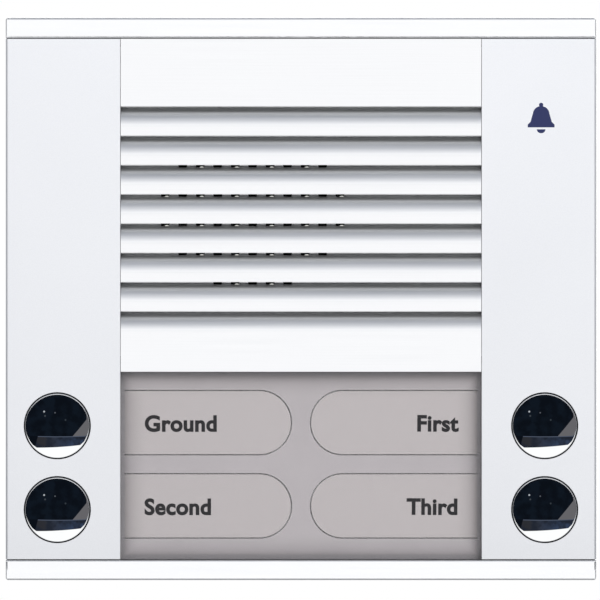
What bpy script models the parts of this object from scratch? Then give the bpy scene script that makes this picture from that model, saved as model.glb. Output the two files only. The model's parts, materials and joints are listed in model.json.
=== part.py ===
"""A door intercom panel with four call buttons, in separate pieces, in metres.

+Z is up and the panel faces -Y. The wall is the plane Y = 0 and the origin is the middle of the
panel's back. "Out" is a distance from the wall, so a point's Y is minus its distance out.
The front half hangs on two bars at the top of the base tray and swings out at the bottom.
"""

import math

import bmesh
import bpy
from mathutils import Matrix, Vector

# Whole panel
PANEL_WIDTH = 0.1500
PANEL_HEIGHT = 0.1428
FRONT = 0.0260  # from the wall to the front face
REAR_EDGE = 0.0025  # from the wall to the casing's rear edge
GAP = 0.0003  # between pieces that touch
FRONT_WALL = 0.0020
SIDE_WALL = 0.0020
HALF_WIDTH = PANEL_WIDTH / 2
HALF_HEIGHT = PANEL_HEIGHT / 2
INSIDE = HALF_WIDTH - SIDE_WALL  # to the inner face of a side wall
BEHIND_FRONT = FRONT - FRONT_WALL  # to the inner face of the front wall

# Rails
RAIL_HEIGHT = 0.0050
RAIL_PLATE = 0.0015
RAIL_CORNER = 0.00065
COLUMN_TOP = HALF_HEIGHT - RAIL_HEIGHT - GAP

# Screws: head radius, head height, shank radius
RAIL_SCREW = (0.00245, 0.0014, 0.0012)
RAIL_SCREW_LENGTH = 0.0110
LOCK_SCREW = (0.0026, 0.0013, 0.00125)
HEAD_SINK = 0.0002  # of a screw head's face, below the rail's outer face

# Columns
COLUMN_INNER = 0.0459
COLUMN_EDGE = 0.0008
RIB_REACH = 0.0020
RIB_THICKNESS = 0.0012
PORT_X = 0.0709
PORT_RADIUS = 0.0025
PORT_BORE = 0.0015

# Louvre grille
GRILLE_HALF = COLUMN_INNER - GAP
GRILLE_BACK = 0.0197
GRILLE_BOTTOM = -0.0185
LIP_COUNT = 8
FIRST_LIP = 0.0490
LIP_PITCH = 0.007435
GROOVE_DEPTH = 0.0045
GROOVE_WALL = 0.0009  # upright wall at the bottom of each groove
SLAT_CURVE = 0.0044  # height of each slat's rounded shoulder
REBATE_TOP = -0.0155
TONGUE_HALF = 0.0495
SOUND_HOLE_RADIUS = 0.0011
SOUND_HOLE_PITCH = 0.004445
SOUND_HOLE_RISE = 0.00035  # of each hole's centre above its lip
SOUND_HOLE_ROWS = {2: 9, 3: 11, 4: 11, 5: 9, 6: 5}  # lip: holes under it

# Front chassis
CHASSIS_BACK = 0.0155
CHASSIS_FRONT = 0.0175
CHASSIS_HALF_WIDTH = INSIDE - 0.0004
CHASSIS_HALF_HEIGHT = 0.0660
PORT_OUT = CHASSIS_BACK - GAP - PORT_RADIUS  # of the screw ports' middle

# Hinge at the top
PIVOT_OUT = 0.0046
PIVOT_Z = 0.0672
BAR_RADIUS = 0.0011
HOOK_BORE = BAR_RADIUS + GAP
HOOK_RADIUS = 0.0024
HOOK_X = 0.0400
HOOK_WIDTH = 0.0100
HOOK_MOUTH = (0, 205)  # degrees round the bar, between which the hook holds it
LUG_RADIUS = 0.0023
LUG_THICKNESS = 0.0020
LUG_FOOT = 0.0600
LUG_BACK = 0.0009

# Base tray
TRAY_HALF_WIDTH = 0.0705
TRAY_BOTTOM = -0.0675
TRAY_TOP = 0.0640
TRAY_FLOOR = 0.0020
TRAY_WALL = 0.0016
TRAY_DEPTH = 0.0098
GASKET_WIDTH = 0.0024
GASKET_MARGIN = 0.0016
GASKET_DEPTH = 0.0011
WALL_SLOT_X = 0.0550
WALL_SLOT_Z = 0.0480
WALL_SLOT_RADIUS = 0.0023
WALL_SLOT_LENGTH = 0.0090
CABLE_ENTRY_Z = -0.0120
CABLE_ENTRY_RADIUS = 0.0080
GROMMET_BORE = 0.0050
GROMMET_LIP = 0.0017
LOCK_HOLE_RADIUS = 0.0016

# Name field
WINDOW_HALF_WIDTH = 0.0478
WINDOW_BOTTOM = -0.0680
WINDOW_TOP = -0.0160
WINDOW_OUT = (0.0223, 0.0237)
MASK_OUT = (0.0210, 0.0220)
LABEL_OUT = (0.0212, 0.0219)
LABEL_RADIUS = 0.00833
LABEL_END = 0.0451  # straight outer end, from the middle
LABEL_TIP = 0.00226  # round inner end, from the middle
LABEL_Z = (-0.03142, -0.05260)
GUIDE_OUT = (0.0180, 0.0207)
GUIDE_Z = (-0.0660, -0.0189)
MASK_MARGIN = 0.0004  # between the mask's edge and the window's
LIGHT_X = (0.0090, 0.0390)  # of the openings behind the labels
LIGHT_HALF_HEIGHT = 0.0060

# Call buttons
BUTTON_X = 0.0619
BUTTON_Z = (-0.0322, -0.0535)
BUTTON_HOLE = 0.0085
BUTTON_RADIUS = 0.0082
BUTTON_CROWN = 0.0271
BUTTON_RIM = 0.0263
BUTTON_FLANGE = 0.0091
BUTTON_EDGE = 0.0004
BUTTON_TRAVEL = 0.0012
FLANGE_THICKNESS = 0.0014
STEM_RADIUS = 0.0030
TUBE_RADIUS = 0.0050
TUBE_BORE = STEM_RADIUS + 0.00035
TUBE_FRONT = 0.0205
SPRING_RADIUS = 0.0060
SPRING_WIRE = 0.0004
SPRING_TURNS = 3.0
SPRING_OUT = (0.0182, 0.0216)

# Main board and what is on it
BOARD_OUT = (0.0102, 0.0118)
BOARD_HALF_WIDTH = 0.0660
BOARD_Z = (-0.0645, -0.0190)
BOARD_SCREW_X = 0.0485
BOARD_SCREW_Z = (-0.0240, -0.0605)
BOARD_HOLE_RADIUS = 0.0016
BEHIND_BOARD = BOARD_OUT[0] - GAP
BOARD_BOSS_RADIUS = 0.0030
BOARD_BOSS_BORE = 0.0015
SWITCH_HALF = 0.0030
SWITCH_OUT = (0.0121, 0.0144)
PLUNGER_RADIUS = 0.00175
PLUNGER_OUT = (0.0137, SWITCH_OUT[1] + BUTTON_TRAVEL + 0.0004)
STEM_TIP = PLUNGER_OUT[1] + GAP
LED_X = 0.0240
TERMINAL_COUNT = 5
TERMINAL_PITCH = 0.0050
TERMINAL_OUT = (0.0032, BEHIND_BOARD)
TERMINAL_Z = (-0.0370, -0.0280)
CHIP_X = (-0.0450, -0.0330)
CHIP_OUT = (0.0083, BEHIND_BOARD)
CHIP_Z = (-0.0500, -0.0380)
CAPACITOR_X = 0.0340
CAPACITOR_Z = -0.0460
TRIMMER_X = 0.0080
TRIMMER_Z = -0.0520
TRIMMER_HALF = 0.0033
TRIMMER_OUT = (0.0064, BEHIND_BOARD)
ROTOR_RADIUS = 0.0023
ROTOR_OUT = (0.0059, 0.0077)
ROTOR_SLOT = (0.0006, 0.0036)  # width and length of the screwdriver slot

# Loudspeaker
SPEAKER_X = -0.0123
SPEAKER_Z = 0.0224
SPEAKER_RADIUS = 0.0250
SPEAKER_OPENING = 0.0225
CLAW_ANGLES = (90, 210, 330)
CLAW_REACH = (0.0236, 0.0269)  # from the loudspeaker's axis
CLAW_BACK = 0.0124
CLAW_SEAT = 0.0137
CLAW_HALF_WIDTH = 0.0030
SEAL_RADII = (0.0232, 0.0265)

# Microphone and locking screws, in the bottom rail
MICROPHONE_OUT = 0.0170
SOUND_PORT_RADIUS = 0.0008
BOOT_HEIGHT = 0.0032
LOCK_SCREW_X = 0.0500
LOCK_SCREW_OUT = 0.0070
LOCK_BOSS_RADIUS = 0.0030

THROUGH = (0.005, 0.030)  # the distances out of a cutter that goes right through the front
SHARP_ANGLE = math.radians(30)  # edges sharper than this aren't shaded smooth

# Sides on round pieces
FINE = 24
MEDIUM = 16
SMALL = 10
TINY = 8

# Colour, roughness, metallic
FINISHES = {
    "anodised_aluminium": ((0.84, 0.85, 0.87), 0.45, 0.6),
    "chrome": ((0.78, 0.79, 0.81), 0.05, 1.0),
    "tray_plastic": ((0.55, 0.56, 0.57), 0.55, 0.0),
    "chassis_plastic": ((0.10, 0.10, 0.11), 0.50, 0.0),
    "clear_plastic": ((0.95, 0.96, 0.96), 0.10, 0.0),
    "mask_grey": ((0.45, 0.43, 0.43), 0.60, 0.0),
    "label_card": ((0.49, 0.46, 0.46), 0.70, 0.0),
    "light_guide_acrylic": ((0.90, 0.91, 0.90), 0.30, 0.0),
    "zinc_steel": ((0.62, 0.62, 0.60), 0.35, 1.0),
    "ferrite": ((0.08, 0.08, 0.09), 0.60, 0.3),
    "cone_paper": ((0.05, 0.05, 0.05), 0.80, 0.0),
    "black_foam": ((0.04, 0.04, 0.04), 0.95, 0.0),
    "black_rubber": ((0.03, 0.03, 0.03), 0.75, 0.0),
    "board_green": ((0.03, 0.20, 0.09), 0.40, 0.0),
    "terminal_green": ((0.10, 0.38, 0.16), 0.45, 0.0),
    "chip_black": ((0.03, 0.03, 0.03), 0.50, 0.0),
    "capacitor_sleeve": ((0.05, 0.06, 0.10), 0.35, 0.0),
    "led_lens": ((0.92, 0.90, 0.70), 0.25, 0.0),
    "switch_black": ((0.05, 0.05, 0.05), 0.45, 0.0),
    "plunger_plastic": ((0.75, 0.74, 0.70), 0.45, 0.0),
    "trimmer_blue": ((0.05, 0.18, 0.45), 0.40, 0.0),
    "rotor_white": ((0.85, 0.84, 0.80), 0.45, 0.0),
    "screw_steel": ((0.66, 0.66, 0.67), 0.28, 1.0),
    "spring_steel": ((0.55, 0.55, 0.56), 0.30, 1.0),
    "capsule_metal": ((0.60, 0.60, 0.61), 0.35, 1.0),
}

# How each facing turns a piece's own Z axis
FACINGS = {
    "out": (math.pi / 2, 0.0, 0.0),
    "in": (-math.pi / 2, 0.0, 0.0),
    "up": (0.0, 0.0, 0.0),
    "down": (math.pi, 0.0, 0.0),
}

# The plane that an outline is drawn in, as the world directions of its own X, Y and Z
PLANES = {
    "x_z": ((1, 0, 0), (0, 0, 1), (0, -1, 0)),
    "x_out": ((1, 0, 0), (0, -1, 0), (0, 0, -1)),
    "out_z": ((0, -1, 0), (0, 0, 1), (-1, 0, 0)),
}


def empty_scene():
    for obj in list(bpy.data.objects):
        bpy.data.objects.remove(obj, do_unlink=True)


def new_collection(name):
    collection = bpy.data.collections.new(name)
    bpy.context.scene.collection.children.link(collection)
    return collection


def finish_material(name):
    """The Principled material of one finish, made once."""
    material = bpy.data.materials.get(name)
    if material:
        return material
    colour, roughness, metallic = FINISHES[name]
    material = bpy.data.materials.new(name)
    material.use_nodes = True
    shader = material.node_tree.nodes["Principled BSDF"]
    shader.inputs["Base Color"].default_value = (*colour, 1.0)
    shader.inputs["Roughness"].default_value = roughness
    shader.inputs["Metallic"].default_value = metallic
    if name == "clear_plastic":
        shader.inputs["Transmission Weight"].default_value = 0.9
    return material


def point(x, out, z):
    return Vector((x, -out, z))


def new_object(name, data, location, rotation=(0.0, 0.0, 0.0)):
    """An object in the helpers' collection, until a finish makes it a piece."""
    obj = bpy.data.objects.new(name, data)
    obj.location = location
    obj.rotation_euler = rotation
    HELPERS.objects.link(obj)
    obj.hide_render = True
    obj.display_type = "WIRE"
    return obj


def block(name, x, out, z):
    """A box between two x, two distances out and two heights."""
    shape = bmesh.new()
    bmesh.ops.create_cube(shape, size=1.0)
    size = Vector((x[1] - x[0], out[1] - out[0], z[1] - z[0]))
    bmesh.ops.scale(shape, vec=size, verts=shape.verts)
    mesh = bpy.data.meshes.new(name)
    shape.to_mesh(mesh)
    shape.free()
    return new_object(name, mesh, point(sum(x) / 2, sum(out) / 2, sum(z) / 2))


def rod(name, place, radius, span, facing, sides):
    """A cylinder through a place, between two distances along its facing."""
    shape = bmesh.new()
    bmesh.ops.create_cone(
        shape,
        cap_ends=True,
        segments=sides,
        radius1=radius,
        radius2=radius,
        depth=span[1] - span[0],
    )
    bmesh.ops.translate(shape, vec=(0.0, 0.0, sum(span) / 2), verts=shape.verts)
    mesh = bpy.data.meshes.new(name)
    shape.to_mesh(mesh)
    shape.free()
    return new_object(name, mesh, point(*place), FACINGS[facing])


def cross_rod(name, radius, x, out, z, sides):
    """A cylinder along X."""
    obj = rod(name, (sum(x) / 2, out, z), radius, (-(x[1] - x[0]) / 2, (x[1] - x[0]) / 2), "up", sides)
    obj.rotation_euler = (0.0, math.pi / 2, 0.0)
    return obj


def turned(name, profile, place, facing, sides, closed=False):
    """A turned piece. The profile holds (radius, height) points, down the outer side."""
    mesh = bpy.data.meshes.new(name)
    count = len(profile)
    edges = [(i, i + 1) for i in range(count - 1)]
    if closed:
        edges.append((count - 1, 0))
    mesh.from_pydata([(radius, 0.0, height) for radius, height in profile], edges, [])
    obj = new_object(name, mesh, point(*place), FACINGS[facing])
    screw = obj.modifiers.new("Turn", "SCREW")
    screw.axis = "Z"
    screw.steps = sides
    screw.render_steps = sides
    screw.use_merge_vertices = True
    screw.merge_threshold = 0.00001
    screw.use_smooth_shade = False
    return obj


def flat_curve(name, outlines, half_thickness):
    curve = bpy.data.curves.new(name, "CURVE")
    curve.dimensions = "2D"
    curve.fill_mode = "BOTH"
    curve.extrude = half_thickness
    for outline in outlines:
        spline = curve.splines.new("POLY")
        spline.points.add(len(outline) - 1)
        for place, (x, y) in zip(spline.points, outline):
            place.co = (x, y, 0.0, 1.0)
        spline.use_cyclic_u = True
    return curve


def as_mesh(obj):
    """The same shape as a mesh object, with its modifiers applied and a curve's caps welded on."""
    bpy.context.view_layer.update()
    graph = bpy.context.evaluated_depsgraph_get()
    mesh = bpy.data.meshes.new_from_object(obj.evaluated_get(graph))
    if obj.type == "CURVE":
        shape = bmesh.new()
        shape.from_mesh(mesh)
        bmesh.ops.remove_doubles(shape, verts=shape.verts, dist=0.000001)
        bmesh.ops.recalc_face_normals(shape, faces=shape.faces)
        shape.to_mesh(mesh)
        shape.free()
    mesh.materials.clear()
    name = obj.name
    matrix = obj.matrix_world.copy()
    bpy.data.objects.remove(obj, do_unlink=True)
    solid = new_object(name, mesh, (0.0, 0.0, 0.0))
    solid.matrix_world = matrix
    return solid


def extruded(name, plane, outlines, span):
    """Outlines drawn in a plane and extruded across it, between two distances along the third axis."""
    directions = [Vector(direction) for direction in PLANES[plane]]
    curve = flat_curve(name, outlines, (span[1] - span[0]) / 2)
    obj = new_object(name, curve, (0.0, 0.0, 0.0))
    turn = Matrix(directions).transposed().to_4x4()
    middle = sum(span) / 2
    along = {"x_z": point(0, middle, 0), "x_out": point(0, 0, middle), "out_z": point(middle, 0, 0)}
    obj.matrix_world = Matrix.Translation(along[plane]) @ turn
    return as_mesh(obj)


def arc(centre, radius, start, end, steps):
    """Points round a circle, or an ellipse with two radii, between two angles in degrees."""
    across, up = radius if isinstance(radius, tuple) else (radius, radius)
    angles = [math.radians(start + (end - start) * step / steps) for step in range(steps + 1)]
    return [(centre[0] + across * math.cos(a), centre[1] + up * math.sin(a)) for a in angles]


def circle(centre, radius, sides):
    return arc(centre, radius, 0, 360, sides)[:-1]


def combine(obj, others, operation):
    for other in others:
        boolean = obj.modifiers.new(other.name, "BOOLEAN")
        boolean.operation = operation
        boolean.solver = "EXACT"
        boolean.object = other
    return obj


def add(obj, *others):
    return combine(obj, others, "UNION")


def cut(obj, *others):
    return combine(obj, others, "DIFFERENCE")


def finished(shape, finish, pivot=None):
    """Makes a shape a piece of the panel, with smooth shading, its material and, on the front, its pivot."""
    obj = as_mesh(shape)
    obj.data.shade_smooth()
    obj.data.set_sharp_from_angle(angle=SHARP_ANGLE)
    HELPERS.objects.unlink(obj)
    PANEL.objects.link(obj)
    obj.hide_render = False
    obj.display_type = "TEXTURED"
    obj.data.materials.append(finish_material(finish))
    if pivot:
        place = obj.matrix_basis.copy()
        obj.parent = pivot
        obj.matrix_parent_inverse = Matrix.Translation(-pivot.location)
        obj.matrix_basis = place
    return obj


# The base, which stays on the wall


def hinge_lug(x):
    """A round-ended lug above the tray's top wall, between two x."""
    front = PIVOT_OUT + LUG_RADIUS
    outline = [(LUG_BACK, LUG_FOOT), (front, LUG_FOOT)]
    outline += arc((PIVOT_OUT, PIVOT_Z), LUG_RADIUS, 0, 180, 10)
    outline.append((LUG_BACK, TRAY_TOP - 0.0005))
    return extruded("hinge_lug", "out_z", [outline], x)


def hinge_parts(middle):
    """Two lugs and the bar between them."""
    inner = HOOK_WIDTH / 2 + 0.0010
    outer = inner + LUG_THICKNESS
    overlap = LUG_THICKNESS / 2
    bar_x = (middle - inner - overlap, middle + inner + overlap)
    return [
        hinge_lug((middle - outer, middle - inner)),
        hinge_lug((middle + inner, middle + outer)),
        cross_rod("hinge_bar", BAR_RADIUS, bar_x, PIVOT_OUT, PIVOT_Z, SMALL),
    ]


def make_base_tray():
    half, bottom, top = TRAY_HALF_WIDTH, TRAY_BOTTOM, TRAY_TOP
    tray = block("base_tray", (-half, half), (0.0, TRAY_DEPTH), (bottom, top))
    inner = half - TRAY_WALL
    hollow_z = (bottom + TRAY_WALL, top - TRAY_WALL)
    cut(tray, block("tray_hollow", (-inner, inner), (TRAY_FLOOR, FRONT), hollow_z))
    add(tray, *hinge_parts(-HOOK_X), *hinge_parts(HOOK_X))
    cuts = [cable_entry(), gasket_ring("gasket_groove", GAP, GASKET_DEPTH)]
    cuts += wall_slots()
    for x in (-LOCK_SCREW_X, LOCK_SCREW_X):
        place = (x, LOCK_SCREW_OUT, bottom)
        span = (-0.001, TRAY_WALL + 0.001)
        cuts.append(rod("lock_hole", place, LOCK_HOLE_RADIUS, span, "up", SMALL))
    cut(tray, *cuts)
    finished(tray, "tray_plastic")


def cable_entry():
    place = (0.0, 0.0, CABLE_ENTRY_Z)
    return rod("cable_entry", place, CABLE_ENTRY_RADIUS, (-0.002, TRAY_FLOOR + 0.002), "out", MEDIUM)


def wall_slots():
    """Four upright slots for the wall screws."""
    slots = []
    straight = WALL_SLOT_LENGTH / 2 - WALL_SLOT_RADIUS
    for x in (-WALL_SLOT_X, WALL_SLOT_X):
        for z in (-WALL_SLOT_Z, WALL_SLOT_Z):
            outline = arc((x, z + straight), WALL_SLOT_RADIUS, 0, 180, 8)
            outline += arc((x, z - straight), WALL_SLOT_RADIUS, 180, 360, 8)
            slots.append(extruded("wall_slot", "x_z", [outline], (-0.002, TRAY_FLOOR + 0.002)))
    return slots


def gasket_ring(name, spare, depth):
    """A frame round the tray's back, wider than the gasket by some spare on each side."""
    back = -0.001 if spare else 0.0
    outlines = []
    for margin in (GASKET_MARGIN - spare, GASKET_MARGIN + GASKET_WIDTH + spare):
        x = TRAY_HALF_WIDTH - margin
        low, high = TRAY_BOTTOM + margin, TRAY_TOP - margin
        outlines.append([(-x, low), (x, low), (x, high), (-x, high)])
    return extruded(name, "x_z", outlines, (back, depth))


def make_wall_gasket():
    finished(gasket_ring("wall_gasket", 0.0, GASKET_DEPTH - GAP), "black_foam")


def make_cable_grommet():
    neck = CABLE_ENTRY_RADIUS - GAP
    flange = CABLE_ENTRY_RADIUS + GROMMET_LIP
    back = 0.0002
    seat = TRAY_FLOOR + GAP
    face = seat + 0.0014
    chamfer = 0.0004
    profile = [
        (flange - chamfer, face),
        (flange, face - chamfer),
        (flange, seat),
        (neck, seat),
        (neck, back),
        (GROMMET_BORE, back),
        (GROMMET_BORE, face),
    ]
    place = (0.0, 0.0, CABLE_ENTRY_Z)
    finished(turned("cable_grommet", profile, place, "out", MEDIUM, closed=True), "black_rubber")


# The casing


def column_outlines():
    """The right column's section: front wall, side wall with a rib, and the screw port."""
    meets_wall = math.degrees(math.acos((INSIDE - PORT_X) / PORT_RADIUS))
    rib = CHASSIS_FRONT + GAP
    outline = [(COLUMN_INNER, FRONT)]
    corner = (HALF_WIDTH - COLUMN_EDGE, FRONT - COLUMN_EDGE)
    outline += arc(corner, COLUMN_EDGE, 90, 0, 3)
    outline += [(HALF_WIDTH, REAR_EDGE), (INSIDE, REAR_EDGE)]
    outline += arc((PORT_X, PORT_OUT), PORT_RADIUS, -meets_wall, -270, 12)
    outline += [
        (INSIDE, CHASSIS_BACK - GAP),
        (INSIDE, rib),
        (INSIDE - RIB_REACH, rib),
        (INSIDE - RIB_REACH, rib + RIB_THICKNESS),
        (INSIDE, rib + RIB_THICKNESS),
        (INSIDE, BEHIND_FRONT),
        (COLUMN_INNER, BEHIND_FRONT),
    ]
    return [outline, circle((PORT_X, PORT_OUT), PORT_BORE, SMALL)]


def make_column(name, side, pivot):
    outlines = [[(side * x, out) for x, out in outline] for outline in column_outlines()]
    column = extruded(name, "x_out", outlines, (-COLUMN_TOP, COLUMN_TOP))
    front_wall = (BEHIND_FRONT - 0.003, FRONT + 0.004)
    holes = []
    for z in BUTTON_Z:
        place = (side * BUTTON_X, 0.0, z)
        holes.append(rod("button_hole", place, BUTTON_HOLE, front_wall, "out", FINE))
    finished(cut(column, *holes), "anodised_aluminium", pivot)


def lip_heights():
    return [FIRST_LIP - LIP_PITCH * index for index in range(LIP_COUNT)]


def grille_outline():
    """The grille's section: flat head, eight grooves with rounded shoulders, and flat foot."""
    floor = FRONT - GROOVE_DEPTH
    outline = [(GRILLE_BACK, COLUMN_TOP), (FRONT, COLUMN_TOP)]
    for lip in lip_heights():
        outline.append((FRONT, lip))
        outline.append((floor, lip))
        centre = (floor, lip - GROOVE_WALL - SLAT_CURVE)
        outline += arc(centre, (GROOVE_DEPTH, SLAT_CURVE), 90, 0, 4)
    outline += [
        (FRONT, GRILLE_BOTTOM),
        (BEHIND_FRONT, GRILLE_BOTTOM),
        (BEHIND_FRONT, REBATE_TOP),
        (GRILLE_BACK, REBATE_TOP),
    ]
    return outline


def sound_holes():
    """Rows of blind bores from behind, which open into the grooves under the lips."""
    holes = []
    depth = (GRILLE_BACK - 0.001, FRONT - GROOVE_DEPTH + 0.0010)
    for row, count in SOUND_HOLE_ROWS.items():
        z = lip_heights()[row] + SOUND_HOLE_RISE
        for index in range(count):
            x = SPEAKER_X + SOUND_HOLE_PITCH * (index - (count - 1) / 2)
            holes.append(rod("sound_hole", (x, 0.0, z), SOUND_HOLE_RADIUS, depth, "out", TINY))
    return joined("sound_holes", holes)


def joined(name, shapes):
    """Separate shapes as one cutter."""
    whole = bmesh.new()
    bpy.context.view_layer.update()
    for obj in shapes:
        mesh = obj.data.copy()
        mesh.transform(obj.matrix_world)
        whole.from_mesh(mesh)
        bpy.data.meshes.remove(mesh)
        bpy.data.objects.remove(obj, do_unlink=True)
    mesh = bpy.data.meshes.new(name)
    whole.to_mesh(mesh)
    whole.free()
    return new_object(name, mesh, (0.0, 0.0, 0.0))


def make_louvre_grille(pivot):
    grille = extruded("louvre_grille", "out_z", [grille_outline()], (-GRILLE_HALF, GRILLE_HALF))
    tongue_out = (GRILLE_BACK + 0.0003, GRILLE_BACK + 0.0015)
    tongue_z = (REBATE_TOP + 0.0010, COLUMN_TOP - 0.0020)
    tongue = block("grille_tongue", (-TONGUE_HALF, TONGUE_HALF), tongue_out, tongue_z)
    add(grille, tongue)
    cut(grille, sound_holes())
    finished(grille, "anodised_aluminium", pivot)


def rail_outline(side):
    """A rail seen from the front, with its two outer corners rounded."""
    inner = side * (HALF_HEIGHT - RAIL_HEIGHT)
    corner_x = HALF_WIDTH - RAIL_CORNER
    corner_z = HALF_HEIGHT - RAIL_CORNER
    outline = arc((corner_x, corner_z), RAIL_CORNER, 0, 90, 3)
    outline += arc((-corner_x, corner_z), RAIL_CORNER, 90, 180, 3)
    outline = [(x, side * z) for x, z in outline]
    return outline + [(-HALF_WIDTH, inner), (HALF_WIDTH, inner)]


def rail_screw_hole(x, side):
    """A clearance bore with a countersink at the rail's outer face."""
    above, sink, bottom = 0.0004, -0.0014, -0.0080
    mouth, bore = 0.0033, PORT_BORE
    profile = [(0.0, above), (mouth, above), (bore, sink), (bore, bottom), (0.0, bottom)]
    facing = "up" if side > 0 else "down"
    return turned("rail_hole", profile, (x, PORT_OUT, side * HALF_HEIGHT), facing, SMALL)


def make_rail(name, side, pivot):
    rail = extruded(name, "x_z", [rail_outline(side)], (REAR_EDGE, FRONT))
    under = HALF_HEIGHT - RAIL_PLATE
    hollow_z = sorted((side * (HALF_HEIGHT - 2 * RAIL_HEIGHT), side * under))
    hollow = block("rail_hollow", (-INSIDE, INSIDE), (-0.001, BEHIND_FRONT), hollow_z)
    cut(rail, hollow)
    bosses = []
    holes = []
    boss_span = (HALF_HEIGHT - RAIL_HEIGHT, under + 0.0003)
    facing = "up" if side > 0 else "down"
    for x in (-PORT_X, PORT_X):
        bosses.append(rod("rail_boss", (x, PORT_OUT, 0.0), PORT_RADIUS, boss_span, facing, SMALL))
        holes.append(rail_screw_hole(x, side))
    if side < 0:
        for x in (-LOCK_SCREW_X, LOCK_SCREW_X):
            place = (x, LOCK_SCREW_OUT, 0.0)
            span = (under - 0.0014, under + 0.0003)
            bosses.append(rod("lock_boss", place, LOCK_BOSS_RADIUS, span, facing, SMALL))
            holes.append(lock_screw_hole(x))
        place = (0.0, MICROPHONE_OUT, 0.0)
        span = (under - 0.001, under + 0.003)
        holes.append(rod("sound_port", place, SOUND_PORT_RADIUS, span, facing, SMALL))
    add(rail, *bosses)
    cut(rail, *holes)
    finished(rail, "anodised_aluminium", pivot)


def lock_screw_hole(x):
    """A clearance bore with a countersink as wide as its boss."""
    above, sink, bottom = 0.0004, -0.0014, -0.0060
    mouth, bore = LOCK_BOSS_RADIUS, 0.00155
    profile = [(0.0, above), (mouth, above), (mouth, -HEAD_SINK), (bore, sink), (bore, bottom), (0.0, bottom)]
    return turned("lock_screw_hole", profile, (x, LOCK_SCREW_OUT, -HALF_HEIGHT), "down", SMALL)


def screw_profile(sizes, length):
    """A countersunk screw, with its head's face at height 0."""
    head_radius, head_height, shank_radius = sizes
    tip_radius = 0.0004
    return [
        (0.0, 0.0),
        (head_radius, 0.0),
        (head_radius, -HEAD_SINK),
        (shank_radius, -head_height),
        (shank_radius, tip_radius * 2 - length),
        (tip_radius, -length),
        (0.0, -length),
    ]


def make_rail_screws(pivot):
    profile = screw_profile(RAIL_SCREW, RAIL_SCREW_LENGTH)
    number = 0
    for side, facing in ((1, "up"), (-1, "down")):
        for x in (-PORT_X, PORT_X):
            number += 1
            place = (x, PORT_OUT, side * (HALF_HEIGHT - HEAD_SINK))
            screw = turned(f"rail_screw_{number}", profile, place, facing, SMALL)
            finished(screw, "screw_steel", pivot)


def make_lock_screws(pivot):
    """Backed off, so that their tips are clear of the tray."""
    head = HALF_HEIGHT - HEAD_SINK
    profile = screw_profile(LOCK_SCREW, head + TRAY_BOTTOM - 0.0004)
    for number, x in enumerate((-LOCK_SCREW_X, LOCK_SCREW_X), 1):
        place = (x, LOCK_SCREW_OUT, -head)
        screw = turned(f"lock_screw_{number}", profile, place, "down", SMALL)
        finished(screw, "screw_steel", pivot)


# The chassis


def chassis_hook(middle):
    """An arm that reaches back over a hinge bar and round behind it, open below."""
    top = PIVOT_Z + HOOK_RADIUS
    bottom = TRAY_TOP + 0.0009
    centre = (PIVOT_OUT, PIVOT_Z)
    root = CHASSIS_FRONT - 0.0003
    mouth, end = HOOK_MOUTH
    outline = [(root, bottom), (root, top)]
    outline += arc(centre, HOOK_RADIUS, 90, end, 8)
    outline += arc(centre, HOOK_BORE, end, mouth, 12)
    outline.append((PIVOT_OUT + HOOK_BORE, bottom))
    return extruded("hook", "out_z", [outline], (middle - HOOK_WIDTH / 2, middle + HOOK_WIDTH / 2))


def speaker_claw(angle):
    """An L behind the chassis that holds the loudspeaker's rim, turned round its axis."""
    inner, outer = CLAW_REACH
    wall = SPEAKER_RADIUS + GAP
    root = CHASSIS_BACK + 0.0005
    outline = [(inner, CLAW_BACK), (outer, CLAW_BACK), (outer, root), (wall, root)]
    outline += [(wall, CLAW_SEAT), (inner, CLAW_SEAT)]
    claw = extruded("speaker_claw", "x_out", [outline], (-CLAW_HALF_WIDTH, CLAW_HALF_WIDTH))
    turn = Matrix.Rotation(math.radians(angle), 4, "Y")
    claw.matrix_world = Matrix.Translation(point(SPEAKER_X, 0.0, SPEAKER_Z)) @ turn @ claw.matrix_world
    return claw


def make_front_chassis(pivot):
    x = (-CHASSIS_HALF_WIDTH, CHASSIS_HALF_WIDTH)
    z = (-CHASSIS_HALF_HEIGHT, CHASSIS_HALF_HEIGHT)
    chassis = block("front_chassis", x, (CHASSIS_BACK, CHASSIS_FRONT), z)
    place = (SPEAKER_X, 0.0, SPEAKER_Z)
    root = CHASSIS_BACK + 0.0010
    adds = [speaker_claw(angle) for angle in CLAW_ANGLES]
    cuts = [rod("speaker_opening", place, SPEAKER_OPENING, THROUGH, "out", FINE)]
    for side in (-1, 1):
        adds.append(chassis_hook(side * HOOK_X))
        for button_z in BUTTON_Z:
            place = (side * BUTTON_X, 0.0, button_z)
            adds.append(rod("guide_tube", place, TUBE_RADIUS, (root, TUBE_FRONT), "out", MEDIUM))
            cuts.append(rod("guide_bore", place, TUBE_BORE, THROUGH, "out", MEDIUM))
        for screw_z in BOARD_SCREW_Z:
            place = (side * BOARD_SCREW_X, 0.0, screw_z)
            boss = (BOARD_OUT[1] + GAP, root)
            bore = (BOARD_OUT[1] - GAP, root + GAP)
            adds.append(rod("board_boss", place, BOARD_BOSS_RADIUS, boss, "out", SMALL))
            cuts.append(rod("boss_bore", place, BOARD_BOSS_BORE, bore, "out", SMALL))
        for label_z in LABEL_Z:
            light_x = sorted(side * edge for edge in LIGHT_X)
            light_z = (label_z - LIGHT_HALF_HEIGHT, label_z + LIGHT_HALF_HEIGHT)
            cuts.append(block("light_opening", light_x, THROUGH, light_z))
    add(chassis, *adds)
    cut(chassis, *cuts)
    finished(chassis, "chassis_plastic", pivot)


# The name field


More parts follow.
